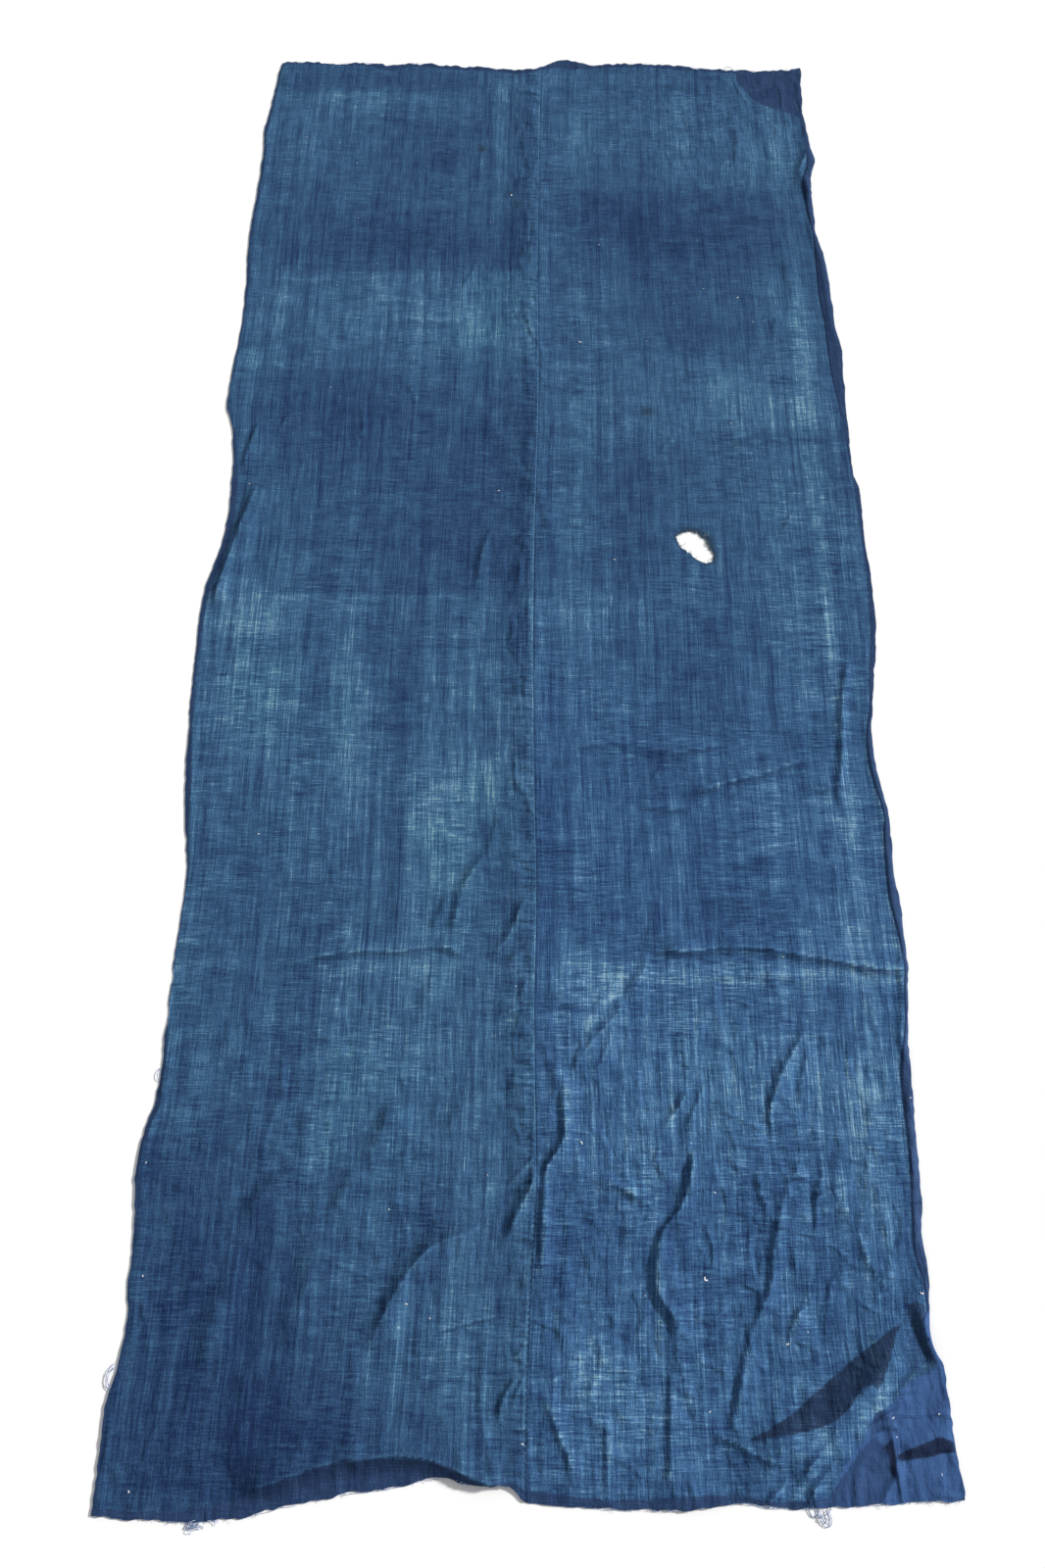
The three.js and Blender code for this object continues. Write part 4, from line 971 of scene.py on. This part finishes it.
def cloth_finish(name, shift, warmth, far_calm, crossing, teal_from):
    """Hand-woven indigo cotton: lengthwise and crosswise streaks of paler yarn over the soft patches, pale
    slubs, dark margins that kept their dye, crests paled by wear and by painted highlight, a paler turned
    edge, painted shade on the folds' steep sides, in the hollows, the crevice and the stitch dimples, and the
    weave as fine bumps."""
    f = Finish(name)
    place = f.node("UVMap", {"uv_map": "cloth"}).outputs[0]
    along = Number(f, f.node("SeparateXYZ", None, [place]).outputs[1])
    fade, depth, seam, fold_shading = f.value("fade"), f.value("unfaded_or_edge_shade"), f.value("seam"), f.value("fold")
    crumpled, stain, hole, hollow = f.value("crumple"), f.value("stain"), f.value("hole"), f.value("hollow")
    line, line_depth = f.value("line"), f.value("line_depth")

    def grains(fine_x, fine_y, detail, roughness, seed):
        return f.noise(place, fine_x, fine_y, detail, roughness, shift + seed)

    # streaks of the warp, crossings of the weft, and slubs
    wide = grains(70, 2.2, 1.0, 0.5, 0)
    warp = grains(250, 9, 1.0, 0.5, 3)
    yarn = grains(640, 24, 1.0, 0.6, 7)
    weft = grains(15, 190, 1.0, 0.5, 11)
    pick = grains(44, 620, 1.0, 0.6, 15)
    band = grains(12, 62, 1.0, 0.5, 97)
    mottle = grains(42, 30, 2.0, 0.55, 19)
    grain = grains(420, 380, 1.0, 0.6, 23)
    far = along.step(0.9, 1.8)
    strength = fade.step(0.1, 0.75) * 0.5 + 0.70
    patchy = grains(9, 6, 1.0, 0.5, 93).step(0.32, 0.68)
    streaks = (wide.swing(0.34) + warp.swing(0.34) + yarn.swing(0.46)) * (1 - far * far_calm)
    streaks = streaks * (1.25 - patchy * 0.4)
    crossings = (band.swing(0.22) + weft.swing(0.24) + pick.swing(0.54)) * (1 - far * 0.25) * crossing
    crossings = crossings * (patchy * 0.8 + 0.55)
    tone = fade + (streaks + crossings) * strength + mottle.swing(0.28) + grain.swing(0.34)
    long_pale = grains(520, 3.2, 0.0, 0.5, 61).step(0.66, 0.82)
    long_dark = grains(400, 2.6, 0.0, 0.5, 67).step(0.34, 0.18)
    tone = tone + (long_pale * 0.13 - long_dark * 0.14) * strength
    slub_warp = grains(800, 46, 0.0, 0.5, 27).step(0.68, 0.82)
    slub_weft = grains(52, 740, 0.0, 0.5, 31).step(0.70, 0.84)
    tone = tone + (slub_warp * 0.17 + slub_weft * 0.19) * strength

    # crests paled by wear and by painted highlight, the paler turned edge, painted shade in the crevice
    # beside it, and the border of the right margin
    turned = seam.step(-0.0022, -0.0006) * seam.step(0.0006, 0.0) * 0.20 * along.step(0.28, 0.42)
    # Painted shade: a thin dark line on the right strip, just beside the lapped edge, where the crevice under
    # that edge lies.
    crevice = seam.step(0.0, 0.0003) * seam.step(0.0026, 0.0010)
    crest_paling = fold_shading.math("MAXIMUM", 0.0)
    rim = line.step(-0.0075, -0.0010) * line.step(0.0002, -0.0006) * line_depth
    colour = f.ramp(tone + turned + crest_paling * 0.45 + rim * 0.10, INDIGO)
    green = grains(7, 5, 2.0, 0.5, 41).step(0.45, 0.72) * fade.step(0.3, 0.7)
    colour = f.blend(green * 0.40 * warmth, colour, GREENISH, "MULTIPLY")
    colour = f.blend(along.step(teal_from, teal_from + 0.8), colour, TEAL, "MULTIPLY")

    # margins and corners that kept their dye, with painted shade at two edges, and the painted shadows of the
    # hollows
    margin = (depth + grains(160, 160, 2.0, 0.6, 43).swing(0.005)).step(-0.0012, 0.0012)
    threads = yarn.swing(0.5) + pick.swing(0.4) + grain.swing(0.3)
    pale_margin = along.step(0.9, 0.5) * line.step(-0.02, 0.0)
    corner = along.step(0.22, 0.17) * line.step(-0.15, -0.11)
    dark = f.blend(pale_margin, UNFADED, HEM)
    dark = f.blend(corner, dark, PURPLE)
    dark = f.blend(threads.step(-0.10, 0.35) * 0.34, dark, UNFADED_PALE_THREAD)
    dark = f.blend(mottle.step(0.55, 0.35) * 0.24, dark, UNFADED_MOTTLE)
    colour = f.blend(margin * 0.92, colour, dark)
    # Painted shadows of the hollows, and the darker left part of the lower right corner.
    colour = f.blend(hollow.step(*HOLLOW_BORDER) * 0.92, colour, SHADE)

    # painted shade on the folds' steep sides and in the stitch dimples, dark stitches, ink line of the right
    # margin, and stains
    foot = along.step(0.37, 0.27)
    dashes = (along * (2 * math.pi / STITCH_PITCH)).math("SINE").step(-0.3, 0.3)
    stitched = seam.step(-0.0016, -0.0008) * seam.step(0.0012, 0.0004) * dashes * foot
    # Painted shade in small dimples that the stitches pull into the left strip, beside the seam.
    dimple_row = seam.step(-0.0112, -0.0088) * seam.step(-0.0036, -0.0056)
    dimples = dimple_row * grains(60, 185, 0.0, 0.5, 71).step(0.58, 0.70)
    dimples = dimples * (1 - along.step(0.5, 0.9) * 0.5)
    ink = line.step(-0.0006, 0.0004) * line.step(0.0040, 0.0014) * line_depth
    # Painted shade of the folds' steep sides, the stitch dimples and the crevice, multiplied in with the dark
    # stitches and the ink line.
    light = (1 - fold_shading.math("MINIMUM", 0.0) * -0.74) * (1 - stitched * 0.62) * (1 - dimples * 0.36)
    shaded = 1 - light * (1 - crevice * 0.55) * (1 - ink * 0.62)
    colour = f.blend(shaded, colour, DEEP, "MULTIPLY")
    worn_rim = (hole + grains(260, 260, 2.0, 0.6, 47).swing(0.008)).step(0.013, 0.001)
    colour = f.blend((stain + worn_rim * 0.74).math("MINIMUM", 0.9), colour, STAIN)

    # small creases, gathers beside the seam, and the weave
    crinkle = grains(95, 60, 2.0, 0.5, 51)
    gathered = seam.step(-0.036, -0.014) * seam.step(0.0004, -0.0040)
    puckers = (grains(26, 115, 1.0, 0.5, 77) - 0.5) * gathered
    undulating = grains(46, 16, 1.5, 0.5, 81)
    broken = grains(17, 13, 0.0, 0.5, 83).step(0.50, 0.64)
    creased = (grains(20, 9, 1.0, 0.5, 85) - 0.5).math("ABSOLUTE").step(0.110, 0.0) * broken
    across = (grains(10, 22, 1.0, 0.5, 87) - 0.5).math("ABSOLUTE").step(0.100, 0.0) * (1 - broken)
    bumps = [(crinkle * crumpled, 0.0024), (undulating * crumpled, 0.0042),
             ((creased + across * 0.7) * crumpled, 0.0020), (puckers, 0.0042),
             ((yarn + pick) * 0.5 + grain * 0.4, 0.0006)]
    return f.close(colour, threads * 0.1 + 0.90, bumps)


def thread_finish(name, light, dark):
    """Cotton thread: two tones along its length."""
    f = Finish(name)
    place = f.node("TexCoord").outputs["Object"]
    tone = f.noise(place, 300, 300, 1.0, 0.5)
    return f.close(f.blend(tone.step(0.35, 0.65), dark, light), 0.9, [(tone, 0.0002)])


def cloth_top(x, y):
    """Height of the cloth's upper side, with the left strip's climb onto the right one."""
    shape = x.shape
    x, y = x.ravel(), y.ravel()
    climb = np.where(x < through(SEAM, y), lap_rise(x, y), 0)
    return (laid(x, y)[0] + THICKNESS + climb).reshape(shape)


THREAD_TIP = 0.45
LOWEST_THREAD = 0.00005


def thread_mesh(name, paths, radii):
    """Thin tubes along paths, an array of (thread, point, xyz): four-sided, thinner at both ends, closed.
    A ring's sides are across the thread's direction and square to that."""
    paths = paths - np.r_[MIDDLE, 0]
    count, steps = paths.shape[:2]
    ahead = np.gradient(paths, axis=1)
    ahead /= np.linalg.norm(ahead, axis=2, keepdims=True) + 1e-9
    across = np.cross(ahead, (0.05, 0.03, 1.0))
    across /= np.linalg.norm(across, axis=2, keepdims=True) + 1e-9
    up = np.cross(across, ahead)
    taper = np.full(steps, 1.0)
    taper[[0, -1]] = THREAD_TIP
    radius = radii[:, None, None] * taper[None, :, None]
    ring = [paths + radius * side for side in (across, up, -across, -up)]
    points = np.stack(ring, axis=2).reshape(-1, 3)
    points[:, 2] = np.maximum(points[:, 2], LOWEST_THREAD)
    first = (np.arange(count)[:, None] * steps + np.arange(steps - 1)).ravel()[:, None] * 4
    side = np.arange(4)
    turn = (side + 1) % 4
    walls = np.stack([first + side, first + turn, first + 4 + turn, first + 4 + side], axis=-1).reshape(-1, 4)
    start = np.arange(count)[:, None] * steps * 4
    stop = start + (steps - 1) * 4
    return new_mesh(name, points, walls[:, ::-1], start + side, (stop + side)[:, ::-1])


def raw_edge_threads(edge, outward, count, seed):
    """Cut thread ends along a raw edge: each starts just inside it, leaves it at a slant and droops."""
    rng = np.random.default_rng(seed)
    x = rng.uniform(-0.445, 0.445, count)
    thick = line_noise(x, 0.05, seed + 1)
    length = rng.gamma(2.0, 0.0006, count) * (0.3 + 1.6 * thick) + 0.0006
    slant = rng.normal(0, 0.45, count)
    t = np.linspace(0, 1, 4)
    curl = rng.normal(0, 0.35, count)
    px = x[:, None] + length[:, None] * (np.sin(slant)[:, None] * t + curl[:, None] * t**2)
    py = through(edge, x)[:, None] + outward * (length[:, None] * np.cos(slant)[:, None] * t - 0.0012)
    inside = np.clip(through(edge, x) - outward * 0.002, 0.0, LENGTH)
    lift = cloth_top(x, inside)[:, None] - 0.0004
    pz = np.maximum(lift * (1 - 0.35 * t**2), 0.0003)
    return np.stack([px, py, pz * np.ones_like(px)], axis=2), rng.uniform(0.00012, 0.00024, count)


def loosened_threads(edge, outward, count, seed):
    """Crosswise threads that have worked loose and lie in waves along a raw edge."""
    rng = np.random.default_rng(seed)
    start = rng.uniform(-0.44, 0.40, count)
    reach = rng.uniform(0.012, 0.055, count)
    x = start[:, None] + reach[:, None] * np.linspace(0, 1, 14)
    wave = 0.0009 * (line_noise(x + np.arange(count)[:, None], 0.006, seed + 1) - 0.4)
    y = through(edge, x) + outward * (0.0002 + wave * 1.6)
    z = cloth_top(x, through(edge, x) - outward * 0.002) * 0.8
    return np.stack([x, y, z], axis=2), rng.uniform(0.00014, 0.00026, count)


def hole_threads(count, seed):
    """Broken thread ends round the worn hole, pointing inwards."""
    rng = np.random.default_rng(seed)
    turn = rng.uniform(-math.pi, math.pi, count)
    outward = np.stack([np.cos(turn), np.sin(turn)], axis=1)
    length = rng.gamma(2.0, 0.0013, count) + 0.0008
    slant = rng.normal(0, 0.5, count)
    t = np.linspace(0, 1, 4)
    reach = rim_radius(turn)[:, None] + 0.0014 - length[:, None] * t
    sideways = length[:, None] * slant[:, None] * t**1.5
    x = HOLE_CENTRE[0] + outward[:, :1] * reach - outward[:, 1:] * sideways
    y = HOLE_CENTRE[1] + outward[:, 1:] * reach + outward[:, :1] * sideways
    z = 0.0016 * (1 - 0.5 * t) * np.ones_like(x)
    return np.stack([x, y, z], axis=2), rng.uniform(0.00016, 0.00030, count)


def seam_stitches(pitch, half, seed):
    """Small slanting stitches over the lapped edge, one every few threads, half a stitch on either side."""
    rng = np.random.default_rng(seed)
    y = np.arange(0.012, LENGTH - 0.02, pitch)
    y = y + rng.normal(0, pitch * 0.16, len(y))
    t = np.linspace(0, 1, 4)
    seam = through(SEAM, y)[:, None]
    x = seam - half + 2 * half * t
    py = y[:, None] + rng.uniform(0.0008, 0.0022, len(y))[:, None] * t
    z = cloth_top(seam - half + 0 * t, py) * (1 - t) + cloth_top(seam + half + 0 * t, py) * t
    return np.stack([x, py, z + 0.00035 * np.sin(t * math.pi)], axis=2), np.full(len(y), 0.00024)


def gather_stitches(seed):
    """Long stitches that draw the left strip's edge in, square to the seam, in uneven groups."""
    rng = np.random.default_rng(seed)
    y = np.cumsum(rng.gamma(6.0, 0.0042, 110))
    y = y[y < LENGTH - 0.03] + 0.01
    length = rng.uniform(0.0030, 0.0085, len(y))
    t = np.linspace(0, 1, 5)
    x = through(SEAM, y)[:, None] - rng.uniform(0.0010, 0.0052, len(y))[:, None] - length[:, None] * t
    py = y[:, None] + rng.normal(0, 0.0009, len(y))[:, None] * t
    return np.stack([x, py, cloth_top(x, py) - 0.00008], axis=2), rng.uniform(0.00022, 0.00042, len(y))


# White lint caught in the weave: (x, y, size)
LEFT_LINT = [
    (-350, 743, 2.8), (-53, 1278, 3), (-42, 1868, 4), (-136, 194, 2.6), (-428, 220, 2.4), (-440, 340, 2.2),
    (-50, 330, 1.6), (-415, 13, 2.6), (-8, 60, 3.2), (-415, 1287, 2.2), (-310, 1466, 2), (-335, 1518, 1.6),
    (-388, 2000, 1.8), (-370, 2030, 1.6), (-300, 1940, 2), (-290, 1815, 1.8), (-253, 1717, 1.8),
    (-75, 1807, 1.8), (-315, 1670, 1.6), (-180, 2127, 1.6), (-110, 180, 2), (-160, 292, 1.8), (-20, 548, 2.2),
]
RIGHT_LINT = [
    (67, 1558, 4.5), (112, 1161, 3.6), (315, 1650, 3.4), (57, 366, 4), (192, 222, 4.6), (383, 88, 3.4),
    (428, 210, 4), (190, 92, 2.6), (305, 587, 1.8), (277, 158, 3.6), (207, 313, 3), (170, 1560, 2),
    (335, 1600, 1.8), (290, 1403, 2), (95, 1972, 2), (263, 1668, 2), (155, 1692, 1.6), (100, 1760, 2),
    (215, 1636, 1.8), (385, 70, 2.2), (432, 92, 2.2), (428, 36, 2.4), (300, 170, 2), (440, 420, 2.4),
    (340, 620, 1.8), (125, 205, 1.4),
]


def lint(spots, seed):
    """Short curled bits of white thread lying on the cloth."""
    rng = np.random.default_rng(seed)
    x, y, size = np.array(spots).T / MM
    turn = rng.uniform(0, 2 * math.pi, len(x))
    t = np.linspace(-1, 1, 6)
    bend = rng.uniform(0.2, 1.3, len(x))[:, None]
    along, aside = t * size[:, None] / 2, bend * (t**2 - 0.4) * size[:, None] / 2
    px = x[:, None] + np.cos(turn)[:, None] * along - np.sin(turn)[:, None] * aside
    py = y[:, None] + np.sin(turn)[:, None] * along + np.cos(turn)[:, None] * aside
    return np.stack([px, py, cloth_top(px, py) + 0.0003], axis=2), size * 0.18


def curls(middle, spread_by, count, size, radius, seed):
    """A tuft of loose thread: open arcs of about three quarters of a turn round scattered middles."""
    rng = np.random.default_rng(seed)
    centre = np.array(middle) + rng.normal(0, 1, (count, 2)) * spread_by
    turn = rng.uniform(0, 2 * math.pi, count)
    t = np.linspace(0, 1, 12)
    angle = turn[:, None] + rng.uniform(2.5, 5.5, count)[:, None] * t
    reach = size * rng.uniform(0.5, 1.3, count)[:, None] * (1 - 0.35 * t)
    x = centre[:, :1] + reach * np.cos(angle)
    y = centre[:, 1:] + 0.7 * reach * np.sin(angle)
    z = 0.0006 + 0.0022 * np.sin(math.pi * t) * rng.random(count)[:, None]
    return np.stack([x, y, z], axis=2), np.full(count, radius)


# Loose threads that hang out of the edges, each through a few points (x, y, z)
LEFT_LOOPS = [
    [(-447, 105, 1), (-452.5, 111, 2), (-453, 124, 2), (-447, 133, 1)],
    [(-446, 108, 1), (-450.5, 113, 3), (-451, 122, 3), (-445, 130, 1)],
    [(-436.5, 431, 1), (-439.5, 436, 2), (-439.5, 443, 2), (-436.5, 448, 1)],
]
RIGHT_LOOPS = [
    [(286, 10, 1), (287.5, 1, 1), (292, -4, 1), (297.5, 1, 1), (299, 9, 1)],
    [(296, 6, 1), (298, -6, 1), (304, -13, 1), (310, -9, 1), (308, 4, 1)],
    [(298, 6, 2), (300, -5, 3), (305, -10, 3), (308, -6, 2), (305, 5, 2)],
    [(290, 8, 2), (296, -3, 3), (303, -2, 3), (310, 4, 2), (313, 10, 1)],
    [(322, 2172, 1), (326, 2176, 3), (335, 2176, 3), (340, 2171, 1)],
]


def join_threads(*groups):
    """Thread groups with the same number of points, as one list of paths and one of radii."""
    return np.concatenate([paths for paths, _ in groups]), np.concatenate([radii for _, radii in groups])


def loops(routes, radius):
    """Loose threads on their routes."""
    return np.stack([smooth_path(route, 12) for route in metres(*routes)]), np.full(len(routes), radius)


def side_threads(group, right):
    """The threads of a group that belong to one strip."""
    paths, radii = group
    here = (paths[:, 0, 0] > 0.002) == right
    return paths[here], radii[here]


left_strip = strip("left_strip", False)
right_strip = strip("right_strip", True)
left_strip.data.materials.append(cloth_finish("cloth_left", 0.0, 1.0, 0.10, 0.95, -1.0))
right_strip.data.materials.append(cloth_finish("cloth_right", 60.0, 0.35, 0.30, 1.08, 0.6))

pale_thread = thread_finish("pale_thread", linear(178, 190, 214), linear(112, 130, 170))
dark_thread = thread_finish("dark_thread", linear(40, 60, 96), linear(22, 34, 62))
worn_thread = thread_finish("worn_thread", linear(150, 162, 168), linear(70, 90, 104))
white_thread = thread_finish("white_thread", linear(252, 252, 252), linear(236, 240, 246))

lower_ends = raw_edge_threads(LOWER_EDGE, -1, 320, 51)
upper_ends = raw_edge_threads(UPPER_EDGE, 1, 320, 52)
lower_loose = loosened_threads(LOWER_EDGE, -1, 22, 53)
upper_loose = loosened_threads(UPPER_EDGE, 1, 26, 54)
trimmings = {"left_strip": [], "right_strip": []}
for right, owner in ((False, "left_strip"), (True, "right_strip")):
    side = "right" if right else "left"
    ends = join_threads(side_threads(lower_ends, right), side_threads(upper_ends, right))
    waves = join_threads(side_threads(lower_loose, right), side_threads(upper_loose, right))
    if right:
        spots, routes = RIGHT_LINT, RIGHT_LOOPS
        tufts = curls((0.301, -0.004), 0.002, 3, 0.004, 0.0003, 61)
        rim_curls = curls((0.243, 1.2045), 0.0022, 7, 0.0022, 0.0002, 66)
        own = [("hole_threads", hole_threads(130, 65), worn_thread),
               ("hole_pale_threads", rim_curls, pale_thread)]
    else:
        spots, routes = LEFT_LINT, LEFT_LOOPS
        tufts = curls((-0.344, -0.016), (0.005, 0.0028), 18, 0.0056, 0.00036, 62)
        own = [("seam_stitches", seam_stitches(0.0062, 0.0017, 67), dark_thread),
               ("gather_stitches", gather_stitches(68), dark_thread)]
    pieces = [(f"{side}_cut_ends", ends, pale_thread), (f"{side}_loosened_threads", waves, pale_thread),
              (f"{side}_lint", lint(spots, 63 + right), white_thread),
              (f"{side}_loops", join_threads(loops(routes, 0.00045), tufts), pale_thread), *own]
    for name, (paths, radii), finish in pieces:
        piece = thread_mesh(name, paths, radii)
        piece.data.materials.append(finish)
        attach(piece, "root")
        trimmings[owner].append(piece)

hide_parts("panel_left")
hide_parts("panel_right")
for cloth in (left_strip, right_strip):
    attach(cloth, "root")

# Floor, just under the cloth
FLOOR_SIZE = 14.0
FLOOR_DROP = 0.0004
square = np.array([(-1, -1, 0), (1, -1, 0), (1, 1, 0), (-1, 1, 0)])
floor = new_mesh("floor", square * FLOOR_SIZE / 2 - (0, 0, FLOOR_DROP), np.array([[0, 1, 2, 3]]))
paper = Finish("pale_floor")
tint = paper.noise(paper.node("TexCoord").outputs["Object"], 3, 3, 2.0)
paper_colour = paper.blend(tint, (0.97, 0.97, 0.97, 1), (0.99, 0.99, 0.99, 1))
floor.data.materials.append(paper.close(paper_colour, 0.9, []))

# Light from a window on the right, and a soft room
SUN_AZIMUTH, SUN_ELEVATION = math.radians(20), math.radians(31)
to_sun = Vector((math.cos(SUN_AZIMUTH), math.sin(SUN_AZIMUTH), math.tan(SUN_ELEVATION)))
sun_data = bpy.data.lights.new("window_light", "SUN")
sun_data.energy, sun_data.angle, sun_data.color = 3.9, math.radians(7), (1.0, 0.985, 0.96)
sun = bpy.data.objects.new("window_light", sun_data)
sun.rotation_euler = to_sun.to_track_quat("Z", "Y").to_euler()
bpy.context.scene.collection.objects.link(sun)

world = bpy.data.worlds.new("soft_room")
world.use_nodes = True
world.node_tree.nodes["Background"].inputs["Color"].default_value = (0.95, 0.97, 1.0, 1.0)
world.node_tree.nodes["Background"].inputs["Strength"].default_value = 0.42
bpy.context.scene.world = world
bpy.context.scene.view_settings.view_transform = "Standard"

# Camera, held by a person who stands over the lower end
CAMERA_PLACE = (-0.009, 0.185, 1.451)
CAMERA_PITCH, CAMERA_TURN = math.radians(66.5), math.radians(0.5)
camera_data = bpy.data.cameras.new("camera")
camera_data.lens, camera_data.sensor_width, camera_data.clip_end = 28.0, 36.0, 50.0
camera = bpy.data.objects.new("camera", camera_data)
camera.location = Vector(CAMERA_PLACE) - Vector((*MIDDLE, 0))
camera.rotation_euler = Euler((math.pi / 2 - CAMERA_PITCH, 0, CAMERA_TURN))
bpy.context.scene.collection.objects.link(camera)
bpy.context.scene.camera = camera
